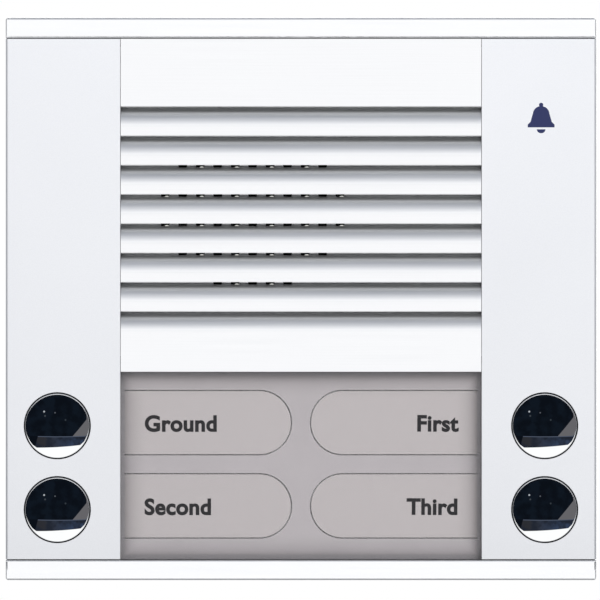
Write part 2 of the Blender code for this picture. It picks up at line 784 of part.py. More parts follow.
def label_outline(side, middle, spare):
    """A label's D shape: straight outer end, round inner end."""
    radius = LABEL_RADIUS + spare
    round_x = LABEL_TIP + LABEL_RADIUS
    outline = arc((round_x, middle), radius, 90, 270, 14)
    outline += [(LABEL_END + spare, middle - radius), (LABEL_END + spare, middle + radius)]
    return [(side * x, z) for x, z in outline]


def label_places():
    """(side, height) of each label, reading order."""
    return [(side, z) for z in LABEL_Z for side in (-1, 1)]


def make_name_field(pivot):
    half = WINDOW_HALF_WIDTH
    window = block("name_window", (-half, half), WINDOW_OUT, (WINDOW_BOTTOM, WINDOW_TOP))
    finished(window, "clear_plastic", pivot)
    low, high = WINDOW_BOTTOM + MASK_MARGIN, WINDOW_TOP - MASK_MARGIN
    half = WINDOW_HALF_WIDTH - MASK_MARGIN
    outlines = [[(-half, low), (half, low), (half, high), (-half, high)]]
    outlines += [label_outline(side, z, 0.0) for side, z in label_places()]
    mask = extruded("label_mask", "x_z", outlines, MASK_OUT)
    finished(mask, "mask_grey", pivot)
    for number, (side, z) in enumerate(label_places(), 1):
        outline = label_outline(side, z, -GAP)
        label = extruded(f"name_label_{number}", "x_z", [outline], LABEL_OUT)
        finished(label, "label_card", pivot)


def make_light_guide(pivot):
    half = GRILLE_HALF
    guide = block("light_guide", (-half, half), GUIDE_OUT, GUIDE_Z)
    dimples = []
    for side, z in label_places():
        dimple = (GUIDE_OUT[0] - 0.002, GUIDE_OUT[0] + 0.0012)
        dimples.append(rod("led_dimple", (side * LED_X, 0.0, z), 0.0030, dimple, "out", SMALL))
    finished(cut(guide, *dimples), "light_guide_acrylic", pivot)


# The loudspeaker


def make_speaker(pivot):
    place = (SPEAKER_X, 0.0, SPEAKER_Z)
    rim = CHASSIS_BACK - GAP
    basket = [
        (SPEAKER_RADIUS, rim),
        (SPEAKER_RADIUS, rim - 0.0012),
        (0.0222, rim - 0.0012),
        (0.0120, 0.0085),
        (0.0120, 0.0075),
        (0.0050, 0.0075),
        (0.0050, 0.0083),
        (0.0110, 0.0083),
        (0.0110, 0.0090),
        (0.0212, rim - 0.0008),
        (0.0212, rim),
    ]
    finished(turned("speaker_basket", basket, place, "out", FINE, closed=True), "zinc_steel", pivot)
    magnet = [
        (0.0, 0.0072),
        (0.0110, 0.0072),
        (0.0110, 0.0040),
        (0.0106, 0.0036),
        (0.0, 0.0036),
    ]
    finished(turned("speaker_magnet", magnet, place, "out", FINE), "ferrite", pivot)
    cone = [
        (0.0, 0.0128),
        (0.0050, 0.0118),
        (0.0070, 0.0104),
        (0.0185, 0.0150),
        (0.0205, 0.0150),
        (0.0205, 0.0146),
        (0.0190, 0.0146),
        (0.0070, 0.0098),
        (0.0, 0.0098),
    ]
    finished(turned("speaker_cone", cone, place, "out", FINE), "cone_paper", pivot)
    inner, outer = SEAL_RADII
    back, front = CHASSIS_FRONT + GAP, GRILLE_BACK - GAP
    seal = [(outer, front), (outer, back), (inner, back), (inner, front)]
    finished(turned("speaker_gasket", seal, place, "out", FINE, closed=True), "black_foam", pivot)


# The microphone, over its sound port in the bottom rail


def make_microphone(pivot):
    foot = -HALF_HEIGHT + RAIL_PLATE + GAP
    place = (0.0, MICROPHONE_OUT, foot)
    wall, port, pocket = 0.0034, SOUND_PORT_RADIUS, 0.0023
    step = 0.0008
    outside = [(wall, BOOT_HEIGHT), (wall, 0.0)]
    inside = [(port, 0.0), (port, step), (pocket, step), (pocket, BOOT_HEIGHT)]
    boot = turned("microphone_boot", outside + inside, place, "up", MEDIUM, closed=True)
    finished(boot, "black_rubber", pivot)
    radius, low, high = pocket - GAP, step + GAP, BOOT_HEIGHT - 0.0001
    capsule = [(0.0, high), (radius, high), (radius, low), (0.0, low)]
    finished(turned("microphone", capsule, place, "up", MEDIUM), "capsule_metal", pivot)


# The main board


def make_main_board(pivot):
    half = BOARD_HALF_WIDTH
    board = block("main_board", (-half, half), BOARD_OUT, BOARD_Z)
    holes = []
    for x in (-BOARD_SCREW_X, BOARD_SCREW_X):
        for z in BOARD_SCREW_Z:
            holes.append(rod("board_hole", (x, 0.0, z), BOARD_HOLE_RADIUS, THROUGH, "out", SMALL))
    finished(cut(board, *holes), "board_green", pivot)


def make_board_screws(pivot):
    """Four pan-headed screws, one near each corner of the board, from behind."""
    profile = [
        (0.0, 0.0013),
        (0.0018, 0.0013),
        (0.0024, 0.0008),
        (0.0024, 0.0),
        (0.0012, 0.0),
        (0.0012, -0.0058),
        (0.0, -0.0058),
    ]
    corners = [(x, z) for z in BOARD_SCREW_Z for x in (-BOARD_SCREW_X, BOARD_SCREW_X)]
    for number, (x, z) in enumerate(corners, 1):
        place = (x, BEHIND_BOARD, z)
        screw = turned(f"board_screw_{number}", profile, place, "in", SMALL)
        finished(screw, "screw_steel", pivot)


def make_terminal_block(pivot):
    """Five poles: a wire hole from above and a screw well from behind for each."""
    half = TERMINAL_COUNT * TERMINAL_PITCH / 2 + 0.0010
    terminal = block("terminal_block", (-half, half), TERMINAL_OUT, TERMINAL_Z)
    back, top = TERMINAL_OUT[0], TERMINAL_Z[1]
    holes = []
    for index in range(TERMINAL_COUNT):
        x = TERMINAL_PITCH * (index - (TERMINAL_COUNT - 1) / 2)
        holes.append(rod("wire_hole", (x, back + 0.0040, top), 0.0014, (-0.0050, 0.001), "up", TINY))
        holes.append(rod("screw_well", (x, back, top - 0.0060), 0.0016, (-0.0018, 0.001), "in", TINY))
    finished(cut(terminal, joined("terminal_holes", holes)), "terminal_green", pivot)


def make_board_parts(pivot):
    finished(block("controller_chip", CHIP_X, CHIP_OUT, CHIP_Z), "chip_black", pivot)
    can = [
        (0.0, 0.0072),
        (0.0036, 0.0072),
        (0.0040, 0.0068),
        (0.0040, 0.0014),
        (0.0037, 0.0011),
        (0.0040, 0.0008),
        (0.0040, 0.0),
        (0.0, 0.0),
    ]
    place = (CAPACITOR_X, BEHIND_BOARD, CAPACITOR_Z)
    capacitor = turned("smoothing_capacitor", can, place, "in", MEDIUM)
    finished(capacitor, "capacitor_sleeve", pivot)


def make_backlight(pivot):
    lens = [(0.0, 0.0021), (0.0008, 0.0019), (0.0014, 0.0012), (0.0018, 0.0012), (0.0018, 0.0), (0.0, 0.0)]
    for number, (side, z) in enumerate(label_places(), 1):
        place = (side * LED_X, BOARD_OUT[1] + GAP, z)
        led = turned(f"backlight_led_{number}", lens, place, "out", SMALL)
        finished(led, "led_lens", pivot)


# The call buttons and what each one works


def button_places():
    """(x, height) of each call button, reading order."""
    return [(side * BUTTON_X, z) for z in BUTTON_Z for side in (-1, 1)]


def button_profile():
    """Domed cap, flange behind the column's wall, and stem."""
    sag = BUTTON_CROWN - BUTTON_RIM
    reach = BUTTON_RADIUS - BUTTON_EDGE
    dome = (reach * reach + sag * sag) / (2 * sag)
    steps = 3
    profile = []
    for step in range(steps + 1):
        radius = reach * step / steps
        profile.append((radius, BUTTON_CROWN - dome + math.sqrt(dome * dome - radius * radius)))
    flange = (BEHIND_FRONT - GAP, BEHIND_FRONT - GAP - FLANGE_THICKNESS)
    profile += [
        (BUTTON_RADIUS, BUTTON_RIM - BUTTON_EDGE),
        (BUTTON_RADIUS, flange[0]),
        (BUTTON_FLANGE, flange[0]),
        (BUTTON_FLANGE, flange[1]),
        (STEM_RADIUS, flange[1]),
        (STEM_RADIUS, STEM_TIP),
        (0.0, STEM_TIP),
    ]
    return profile


def spring_curve(name):
    """A coil round the guide tube, as a wire."""
    curve = bpy.data.curves.new(name, "CURVE")
    curve.dimensions = "3D"
    curve.bevel_depth = SPRING_WIRE
    curve.bevel_resolution = 1
    curve.use_fill_caps = True
    steps_per_turn = 10
    steps = int(SPRING_TURNS * steps_per_turn)
    spline = curve.splines.new("POLY")
    spline.points.add(steps)
    for step, place in enumerate(spline.points):
        angle = 2 * math.pi * step / steps_per_turn
        out = SPRING_OUT[0] + (SPRING_OUT[1] - SPRING_OUT[0]) * step / steps
        place.co = (SPRING_RADIUS * math.cos(angle), SPRING_RADIUS * math.sin(angle), out, 1.0)
    return curve


def make_button_set(number, x, z, pivot):
    place = (x, 0.0, z)
    button = turned(f"call_button_{number}", button_profile(), place, "out", FINE)
    finished(button, "chrome", pivot)
    name = f"return_spring_{number}"
    spring = new_object(name, spring_curve(name), point(*place), FACINGS["out"])
    finished(spring, "spring_steel", pivot)
    half = SWITCH_HALF
    body = block(f"button_switch_{number}", (x - half, x + half), SWITCH_OUT, (z - half, z + half))
    bore_span = (SWITCH_OUT[0] + GAP, SWITCH_OUT[1] + 0.0016)
    bore = rod("plunger_bore", place, PLUNGER_RADIUS + GAP, bore_span, "out", SMALL)
    finished(cut(body, bore), "switch_black", pivot)
    plunger = rod(f"switch_plunger_{number}", place, PLUNGER_RADIUS, PLUNGER_OUT, "out", SMALL)
    finished(plunger, "plunger_plastic", pivot)


# The trimmers


def make_trimmer(name, x, pivot):
    half = TRIMMER_HALF
    z = (TRIMMER_Z - half, TRIMMER_Z + half)
    body = block(f"{name}_trimmer", (x - half, x + half), TRIMMER_OUT, z)
    place = (x, 0.0, TRIMMER_Z)
    well_span = (ROTOR_OUT[0] - 0.001, ROTOR_OUT[1] + GAP)
    well = rod("rotor_well", place, ROTOR_RADIUS + GAP, well_span, "out", MEDIUM)
    finished(cut(body, well), "trimmer_blue", pivot)
    rotor = rod(f"{name}_rotor", place, ROTOR_RADIUS, ROTOR_OUT, "out", MEDIUM)
    width, length = ROTOR_SLOT
    slot_x = (x - width / 2, x + width / 2)
    slot_z = (TRIMMER_Z - length / 2, TRIMMER_Z + length / 2)
    slot = block("rotor_slot", slot_x, (ROTOR_OUT[0] - 0.001, ROTOR_OUT[0] + 0.0007), slot_z)
    finished(cut(rotor, slot), "rotor_white", pivot)


def make_panel():
    pivot = bpy.data.objects.new("front_pivot", None)
    pivot.location = point(0.0, PIVOT_OUT, PIVOT_Z)
    PANEL.objects.link(pivot)
    make_base_tray()
    make_wall_gasket()
    make_cable_grommet()
    make_column("left_column", -1, pivot)
    make_column("right_column", 1, pivot)
    make_louvre_grille(pivot)
    make_rail("top_rail", 1, pivot)
    make_rail("bottom_rail", -1, pivot)
    make_rail_screws(pivot)
    make_lock_screws(pivot)
    make_front_chassis(pivot)
    make_name_field(pivot)
    make_light_guide(pivot)
    make_speaker(pivot)
    make_microphone(pivot)
    make_main_board(pivot)
    make_board_screws(pivot)
    make_terminal_block(pivot)
    make_board_parts(pivot)
    make_backlight(pivot)
    for number, (x, z) in enumerate(button_places(), 1):
        make_button_set(number, x, z, pivot)
    make_trimmer("volume", -TRIMMER_X, pivot)
    make_trimmer("microphone_level", TRIMMER_X, pivot)


empty_scene()
PANEL = new_collection("door_intercom_panel")
HELPERS = new_collection("helpers")
make_panel()
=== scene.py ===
import json
import math

import bmesh
import bpy
from mathutils import Matrix, Vector


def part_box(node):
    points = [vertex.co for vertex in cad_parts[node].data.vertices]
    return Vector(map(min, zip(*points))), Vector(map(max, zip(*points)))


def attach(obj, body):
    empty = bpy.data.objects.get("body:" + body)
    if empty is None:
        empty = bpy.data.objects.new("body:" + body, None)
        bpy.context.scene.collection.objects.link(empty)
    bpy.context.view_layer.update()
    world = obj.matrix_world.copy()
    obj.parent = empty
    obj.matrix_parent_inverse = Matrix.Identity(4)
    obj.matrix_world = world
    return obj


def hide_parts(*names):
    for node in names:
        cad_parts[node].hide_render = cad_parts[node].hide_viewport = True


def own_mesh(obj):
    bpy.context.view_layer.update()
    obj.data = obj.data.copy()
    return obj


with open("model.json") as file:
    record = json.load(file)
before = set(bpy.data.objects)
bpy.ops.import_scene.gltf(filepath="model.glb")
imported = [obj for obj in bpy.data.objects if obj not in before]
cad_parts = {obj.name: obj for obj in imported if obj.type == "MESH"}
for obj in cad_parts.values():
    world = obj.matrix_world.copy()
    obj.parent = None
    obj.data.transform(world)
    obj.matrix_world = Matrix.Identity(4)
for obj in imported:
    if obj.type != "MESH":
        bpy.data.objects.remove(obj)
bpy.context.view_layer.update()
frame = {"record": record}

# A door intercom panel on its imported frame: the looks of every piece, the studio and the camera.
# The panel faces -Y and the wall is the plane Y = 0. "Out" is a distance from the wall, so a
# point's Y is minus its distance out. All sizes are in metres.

BODIES = frame["record"]["behaviour"]["bodies"]
BODY_OF = {node: body for body, nodes in BODIES.items() for node in nodes}
SLOT_OF = {part["node"]: part["material_slot"] for part in frame["record"]["subparts"]}

# Sizes of the casing, where the frame's boxes don't give them
GAP = 0.0003
FRONT = -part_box("louvre_grille")[0].y
HALF_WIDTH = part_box("top_rail")[1].x
HALF_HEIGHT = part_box("top_rail")[1].z
RAIL_INNER = HALF_HEIGHT - 0.0051
COLUMN_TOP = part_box("right_column")[1].z
COLUMN_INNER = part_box("right_column")[0].x
REAR_EDGE = -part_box("right_column")[1].y
WALL = 0.0020
INSIDE = HALF_WIDTH - WALL
BEHIND_FRONT = FRONT - WALL
CHASSIS_BACK = 0.0155
CHASSIS_FRONT = 0.0175
COLUMN_EDGE = 0.0008
PORT_X = 0.0709
PORT_RADIUS = 0.0025
PORT_BORE = 0.0015
PORT_OUT = CHASSIS_BACK - GAP - PORT_RADIUS
LOCK_X = 0.0500
LOCK_OUT = 0.0070
PIVOT_OUT, PIVOT_Z = 0.0046, 0.0672
TRAY_HALF, TRAY_BOTTOM, TRAY_TOP = 0.0705, -0.0675, 0.0640
TRAY_FLOOR, TRAY_WALL, TRAY_DEPTH = 0.0020, 0.0016, 0.0098

# The louvre grille: its lips from the top down, and the holes in some rows, as row: count
GRILLE_HALF = COLUMN_INNER - 0.0001
GRILLE_BACK = 0.0197
GRILLE_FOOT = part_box("louvre_grille")[0].z
LIPS = [0.0489 - 0.007435 * index for index in range(8)]
LIP_EDGE = 0.0001
GROOVE_DEPTH = 0.0049
GROOVE_WALL = 0.0001
SLAT_CURVE = 0.0053
SOUND_HOLES = {2: 9, 3: 11, 4: 11, 5: 9, 6: 5}
SOUND_HOLE_PITCH = 0.004445
SOUND_HOLE_X, SOUND_HOLE_Z = 0.00110, (-0.00060, 0.00060)
SPEAKER = ((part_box("speaker_basket")[0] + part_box("speaker_basket")[1]) / 2).xz

# The name field
LABEL_RADIUS = 0.00833
LABEL_WORDS = ("Ground", "First", "Second", "Third")
CAPITAL_HEIGHT = 0.0041
CAPITAL_SHARE_OF_FONT_SIZE = 0.73

# Painted shade, as shares of a colour at distances: from the front face back into the louvres,
# from a column's foot up, and from the edges of the name field's opening inwards
LOUVRE_SHADE = (
    (0.00002, 0.91), (0.00006, 1.0), (0.0009, 1.0), (0.0014, 0.86),
    (0.0018, 0.58), (0.0024, 0.54), (0.0031, 0.95), (0.0049, 1.0),
)
COLUMN_SHADE = ((0.0001, 0.87), (0.008, 0.89), (0.022, 0.915), (0.045, 0.94), (0.09, 0.97), (0.135, 1.0))
FIELD_SHADE = (
    (0.0008, 0.58), (0.0014, 0.64), (0.0018, 0.72), (0.0023, 0.79),
    (0.0028, 0.85), (0.0044, 0.93), (0.0063, 1.0),
)

# The plane that an outline is drawn in, as the world directions of its own X, Y and Z
PLANES = {
    "x_z": ((1, 0, 0), (0, 0, 1), (0, -1, 0)),
    "x_out": ((1, 0, 0), (0, -1, 0), (0, 0, -1)),
    "out_z": ((0, -1, 0), (0, 0, 1), (-1, 0, 0)),
}
# The angle about X that turns a piece's own Z axis to each facing
FACINGS = {"out": math.pi / 2, "in": -math.pi / 2, "up": 0.0, "down": math.pi}


# Places


def point(x, out, z):
    return Vector((x, -out, z))


def middle(node):
    low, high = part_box(node)
    return (low + high) / 2


def axis(node):
    """Where the line through a node's middle, straight out from the wall, starts."""
    place = middle(node)
    return place.x, 0.0, place.z


def outs(node):
    """The nearest and farthest distance of a node from the wall."""
    low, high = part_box(node)
    return -high.y, -low.y


def around(value, half):
    return value - half, value + half


def numbered(stem):
    return [f"{stem}_{number}" for number in range(1, 5)]


def facing_turn(place, facing):
    return Matrix.Translation(point(*place)) @ Matrix.Rotation(FACINGS[facing], 4, "X")


def about_speaker(angle):
    """Turns a piece about the loudspeaker's axis and puts it there."""
    return Matrix.Translation(point(SPEAKER[0], 0.0, SPEAKER[1])) @ Matrix.Rotation(angle, 4, "Y")


# Outlines


def arc(centre, radius, start, end, steps):
    """Points round a circle, or an ellipse with two radii, between two angles in degrees."""
    across, up = radius if isinstance(radius, tuple) else (radius, radius)
    angles = [math.radians(start + (end - start) * step / steps) for step in range(steps + 1)]
    return [(centre[0] + across * math.cos(a), centre[1] + up * math.sin(a)) for a in angles]


def circle(centre, radius, sides=32):
    return arc(centre, radius, 0, 360, sides)[:-1]


def rounded(x, z, radius, steps=5):
    """A rectangle's outline with round corners."""
    corners = ((x[1], z[1], -1, -1), (x[0], z[1], 1, -1), (x[0], z[0], 1, 1), (x[1], z[0], -1, 1))
    outline = []
    for index, (corner_x, corner_z, side_x, side_z) in enumerate(corners):
        centre = (corner_x + side_x * radius, corner_z + side_z * radius)
        outline += arc(centre, radius, 90 * index, 90 * index + 90, steps)
    return outline


def face_outline(node, radius, inset_x=0.0, inset_z=0.0):
    """A node's rectangle seen from the front, with round corners."""
    low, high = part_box(node)
    return rounded((low.x + inset_x, high.x - inset_x), (low.z + inset_z, high.z - inset_z), radius)


def thick_line(path, width):
    """The outline of an open line with a width."""
    left, right = [], []
    for index, place in enumerate(path):
        here = Vector(place)
        before = Vector(path[max(index - 1, 0)])
        after = Vector(path[min(index + 1, len(path) - 1)])
        along = (after - before).normalized()
        normal = Vector((-along.y, along.x)) * width / 2
        left.append(tuple(here + normal))
        right.append(tuple(here - normal))
    return left + list(reversed(right))


# Shapes


def linked(name, data):
    obj = bpy.data.objects.new(name, data)
    bpy.context.scene.collection.objects.link(obj)
    return obj


def made(name, shape):
    """A bmesh as a new object in the row frame."""
    bmesh.ops.recalc_face_normals(shape, faces=shape.faces)
    mesh = bpy.data.meshes.new(name)
    shape.to_mesh(mesh)
    shape.free()
    return linked(name, mesh)


def settled(obj):
    """The object as a plain welded mesh in the row frame, its modifiers applied."""
    bpy.context.view_layer.update()
    graph = bpy.context.evaluated_depsgraph_get()
    mesh = bpy.data.meshes.new_from_object(obj.evaluated_get(graph))
    shape = bmesh.new()
    shape.from_mesh(mesh)
    shape.transform(obj.matrix_world)
    bmesh.ops.remove_doubles(shape, verts=shape.verts, dist=0.000002)
    bmesh.ops.dissolve_degenerate(shape, edges=shape.edges, dist=0.000002)
    name = obj.name
    bpy.data.objects.remove(obj, do_unlink=True)
    return made(name, shape)


def block(name, x, out, z, edge=0.0, segments=2):
    """A box between two x, two distances out and two heights, with rounded edges."""
    shape = bmesh.new()
    bmesh.ops.create_cube(shape, size=1.0)
    size = Vector((x[1] - x[0], out[1] - out[0], z[1] - z[0]))
    bmesh.ops.scale(shape, vec=size, verts=shape.verts)
    place = point((x[0] + x[1]) / 2, (out[0] + out[1]) / 2, (z[0] + z[1]) / 2)
    bmesh.ops.translate(shape, vec=place, verts=shape.verts)
    if edge:
        edges = list(shape.edges)
        bmesh.ops.bevel(shape, geom=edges, offset=edge, segments=segments, profile=0.5, affect="EDGES")
    return made(name, shape)


def node_block(node, suffix, out, edge):
    """A block as wide and as high as a node."""
    low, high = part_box(node)
    return block(node + suffix, (low.x, high.x), out, (low.z, high.z), edge)


def turned(name, profile, place, facing, sides=48, closed=False):
    """A turned piece from (radius, height) points. Points on the axis close its ends."""
    shape = bmesh.new()
    rings = []
    for radius, height in profile:
        if radius == 0.0:
            rings.append([shape.verts.new((0.0, 0.0, height))] * sides)
            continue
        ring = []
        for step in range(sides):
            angle = 2 * math.pi * step / sides
            ring.append(shape.verts.new((radius * math.cos(angle), radius * math.sin(angle), height)))
        rings.append(ring)
    if closed:
        rings.append(rings[0])
    for one, other in zip(rings, rings[1:]):
        for step in range(sides):
            after = (step + 1) % sides
            corners = []
            for vert in (one[step], one[after], other[after], other[step]):
                if vert not in corners:
                    corners.append(vert)
            if len(corners) > 2:
                shape.faces.new(corners)
    bmesh.ops.transform(shape, matrix=facing_turn(place, facing), verts=shape.verts)
    return made(name, shape)


def rod(name, place, radius, span, facing, sides=32, edge=0.0):
    """A cylinder between two distances along its facing, with rounded ends."""
    low, high = span
    if not edge:
        profile = [(0.0, high), (radius, high), (radius, low), (0.0, low)]
    else:
        profile = [(0.0, high)] + arc((radius - edge, high - edge), edge, 90, 0, 3)
        profile += arc((radius - edge, low + edge), edge, 0, -90, 3) + [(0.0, low)]
    return turned(name, profile, place, facing, sides)


def add_line(curve, points, closed):
    spline = curve.splines.new("POLY")
    spline.points.add(len(points) - 1)
    for place, co in zip(spline.points, points):
        place.co = (*co, 1.0)
    spline.use_cyclic_u = closed


def section(name, outlines, span, edge=0.0, segments=2, plane="x_z"):
    """Outlines drawn in a plane and extruded across it between two distances, with round edges."""
    curve = bpy.data.curves.new(name, "CURVE")
    curve.dimensions = "2D"
    curve.fill_mode = "BOTH"
    curve.extrude = (span[1] - span[0]) / 2 - edge
    if edge:
        curve.bevel_depth = edge
        curve.bevel_resolution = segments
        curve.offset = -edge
    for outline in outlines:
        add_line(curve, [(x, y, 0.0) for x, y in outline], True)
    obj = linked(name, curve)
    directions = [Vector(direction) for direction in PLANES[plane]]
    half = (span[0] + span[1]) / 2
    along = {"x_z": point(0, half, 0), "x_out": point(0, 0, half), "out_z": point(half, 0, 0)}
    obj.matrix_world = Matrix.Translation(along[plane]) @ Matrix(directions).transposed().to_4x4()
    return settled(obj)


def wire(name, points, radius):
    """A round wire through points."""
    curve = bpy.data.curves.new(name, "CURVE")
    curve.dimensions = "3D"
    curve.bevel_depth = radius
    curve.bevel_resolution = 2
    curve.use_fill_caps = True
    add_line(curve, points, False)
    return settled(linked(name, curve))


def joined(name, shapes):
    """Separate shapes as one object."""
    whole = bmesh.new()
    for obj in shapes:
        whole.from_mesh(obj.data)
        bpy.data.objects.remove(obj, do_unlink=True)
    return made(name, whole)


def moved(obj, matrix):
    obj.data.transform(matrix)
    return obj


def combined(obj, others, operation):
    for other in others:
        boolean = obj.modifiers.new(other.name, "BOOLEAN")
        boolean.operation = operation
        boolean.solver = "EXACT"
        boolean.object = other
    solid = settled(obj)
    for other in others:
        bpy.data.objects.remove(other, do_unlink=True)
    return solid


def add(obj, *others):
    return combined(obj, others, "UNION")


def cut(obj, *others):
    return combined(obj, others, "DIFFERENCE")


# Finishes


class Nodes:
    """A node tree, with short ways to make the nodes that finishes and the sky share."""

    def __init__(self, owner):
        owner.use_nodes = True
        self.nodes, self.links = owner.node_tree.nodes, owner.node_tree.links

    def node(self, kind, inputs, **settings):
        """A new node. Each of its inputs is given as a value or as the socket to link it to."""
        node = self.nodes.new("ShaderNode" + kind)
        for setting, value in settings.items():
            setattr(node, setting, value)
        for key, value in inputs.items():
            if isinstance(value, bpy.types.NodeSocket):
                self.links.new(value, node.inputs[key])
            else:
                node.inputs[key].default_value = value
        return node

    def math(self, operation, *values):
        return self.node("Math", dict(enumerate(values)), operation=operation).outputs["Value"]

    def axes(self, vector):
        separate = self.node("SeparateXYZ", {"Vector": vector})
        return [separate.outputs[axis] for axis in "XYZ"]

    def ramp(self, stops, value):
        """The colour at a value from 0 to 1, with stops as (value, colour)."""
        node = self.node("ValToRGB", {"Fac": value})
        elements = node.color_ramp.elements
        elements.remove(elements[0])
        elements[0].position = stops[0][0]
        elements[0].color = (*stops[0][1], 1.0)
        for position, colour in stops[1:]:
            elements.new(position).color = (*colour, 1.0)
        return node.outputs["Color"]


class Finish(Nodes):
    """A Principled material, to which patterns of tint, roughness and relief are added."""

    def __init__(self, name, colour, roughness, metallic=0.0, **sockets):
        self.material = bpy.data.materials.new(name)
        super().__init__(self.material)
        self.shader = self.nodes["Principled BSDF"]
        self.roughness = roughness
        self.shader.inputs["Base Color"].default_value = (*colour, 1.0)
        self.shader.inputs["Roughness"].default_value = roughness
        self.shader.inputs["Metallic"].default_value = metallic
        for socket, value in sockets.items():
            self.shader.inputs[socket.replace("_", " ")].default_value = value
        self.place = self.nodes.new("ShaderNodeTexCoord").outputs["Object"]

    def stretched(self, stretch):
        return self.node("Mapping", {"Scale": stretch, "Vector": self.place}).outputs["Vector"]

    def noise(self, scale, stretch=(1, 1, 1), detail=2.0):
        """Cloudy noise, with scale patches to the metre, more along an axis with more stretch."""
        inputs = {"Scale": scale, "Detail": detail, "Vector": self.stretched(stretch)}
        return self.node("TexNoise", inputs).outputs["Fac"]

    def cells(self, scale):
        inputs = {"Scale": scale, "Vector": self.stretched((1, 1, 1))}
        return self.node("TexVoronoi", inputs).outputs["Distance"]

    def ranged(self, pattern, low, high, source=(0.25, 0.75)):
        inputs = {"From Min": source[0], "From Max": source[1], "To Min": low, "To Max": high}
        return self.node("MapRange", {"Value": pattern, **inputs}).outputs["Result"]

    def scaled(self, share):
        """Multiplies the colour by a share."""
        socket = self.shader.inputs["Base Color"]
        under = socket.links[0].from_socket if socket.is_linked else tuple(socket.default_value)
        node = self.node("HueSaturation", {"Color": under, "Value": share})
        self.links.new(node.outputs["Color"], socket)
        return self

    def tint(self, pattern, spread):
        """Lightens and darkens the colour with a pattern."""
        return self.scaled(self.ranged(pattern, 1 - spread, 1 + spread))

    def shaded(self, distance, stops):
        """Paints shade by scaling the colour by shares at distances, given as (distance, share)."""
        farthest = stops[-1][0]
        placed = [(0.0, stops[0][1])] + [(at / farthest, share) for at, share in stops]
        greys = [(at, (share, share, share)) for at, share in placed]
        return self.scaled(self.ramp(greys, self.ranged(distance, 0.0, 1.0, (0.0, farthest))))

    def by_depth(self, stops):
        """Paints shade by scaling the colour by shares at depths behind the front face."""
        return self.shaded(self.math("ADD", self.axes(self.place)[1], FRONT), stops)

    def by_height(self, stops):
        """Paints shade by scaling the colour by shares at heights above a column's foot."""
        return self.shaded(self.math("ADD", self.axes(self.place)[2], COLUMN_TOP), stops)

    def by_edges(self, half_width, heights, stops):
        """Paints shadow by scaling the colour by shares at distances from the edges of an opening."""
        x, _, z = self.axes(self.place)
        side = self.math("SUBTRACT", half_width, self.math("ABSOLUTE", x))
        top = self.math("SUBTRACT", heights[1], z)
        end = self.math("MINIMUM", top, self.math("SUBTRACT", z, heights[0]))
        return self.shaded(self.math("MINIMUM", side, end), stops)

    def rough(self, pattern, spread):
        level = self.ranged(pattern, self.roughness - spread, self.roughness + spread)
        self.links.new(level, self.shader.inputs["Roughness"])
        return self

    def relief(self, pattern, height):
        """Raises the surface with a pattern, by a height in metres."""
        bump = self.node("Bump", {"Distance": height, "Height": pattern})
        self.links.new(bump.outputs["Normal"], self.shader.inputs["Normal"])
        return self

    def one_sided(self):
        """Lets one look through the surface from behind."""
        backfacing = self.node("NewGeometry", {}).outputs["Backfacing"]
        clear = self.node("BsdfTransparent", {}).outputs[0]
        mix = self.node("MixShader", {0: backfacing, 1: self.shader.outputs[0], 2: clear})
        self.links.new(mix.outputs[0], self.nodes["Material Output"].inputs["Surface"])
        return self

    def clouded(self, tint, rough, scale):
        """Slow uneven patches, as on any real surface."""
        pattern = self.noise(scale, detail=4.0)
        return self.tint(pattern, tint).rough(pattern, rough)

    def streaked(self, lines, tint, height):
        """Fine marks in colour, roughness and height, finer along an axis with more lines."""
        pattern = self.noise(1.0, lines, detail=3.0)
        return self.tint(pattern, tint).rough(pattern, 0.08).relief(pattern, height)


def sand_matt(name, colour):
    # The columns darken towards the foot: painted shade
    finish = Finish(name, colour, 0.45, 0.70).clouded(0.008, 0.03, 25).by_height(COLUMN_SHADE)
    finish.tint(finish.noise(3800, detail=1.0), 0.018)
    return finish.relief(finish.noise(5200, detail=1.0), 0.000008)


def brushed(name, colour):
    """Fine lines along X."""
    return Finish(name, colour, 0.36, 0.90).streaked((25, 3500, 3500), 0.022, 0.000006)


def moulded(name, colour, roughness, grain=0.000015, scale=2600):
    """Matt plastic from a spark-eroded mould."""
    finish = Finish(name, colour, roughness).clouded(0.04, 0.05, 80)
    return finish.relief(finish.cells(scale), grain)


def bright_metal(name, colour, roughness):
    return Finish(name, colour, roughness, 1.0).streaked((900, 900, 900), 0.06, 0.000004)


# Plastics and metals that differ only in colour, roughness and the grain's height and scale
PLASTICS = {
    "tray_plastic": ((0.50, 0.51, 0.52), 0.55),
    "chassis_plastic": ((0.030, 0.030, 0.034), 0.48),
    "mask_grey": ((0.43, 0.399, 0.409), 0.62, 0.000006, 3000),
    # Painted shade: the dark grey of the frame round the name field, which stands in for shadow
    "shade_frame_grey": ((0.245, 0.232, 0.242), 0.7, 0.000006, 3000),
    "navy_print": ((0.007, 0.014, 0.085), 0.5, 0.000002),
    "rubber": ((0.028, 0.028, 0.03), 0.7, 0.00002, 1500),
    "terminal": ((0.055, 0.30, 0.11), 0.42),
    "chip": ((0.022, 0.022, 0.024), 0.5, 0.00001, 4000),
    "switch_black": ((0.03, 0.03, 0.032), 0.45),
    "plunger": ((0.72, 0.70, 0.65), 0.42),
    "trimmer_blue": ((0.025, 0.13, 0.42), 0.4),
    "rotor_white": ((0.82, 0.80, 0.75), 0.45),
}
METALS = {
    "zinc_steel": ((0.66, 0.66, 0.62), 0.34),
    "solder": ((0.74, 0.74, 0.75), 0.22),
    "screw_steel": ((0.70, 0.70, 0.71), 0.24),
    "spring_steel": ((0.58, 0.58, 0.60), 0.28),
    "capsule_metal": ((0.66, 0.66, 0.67), 0.3),
    "brass": ((0.78, 0.60, 0.28), 0.3),
}


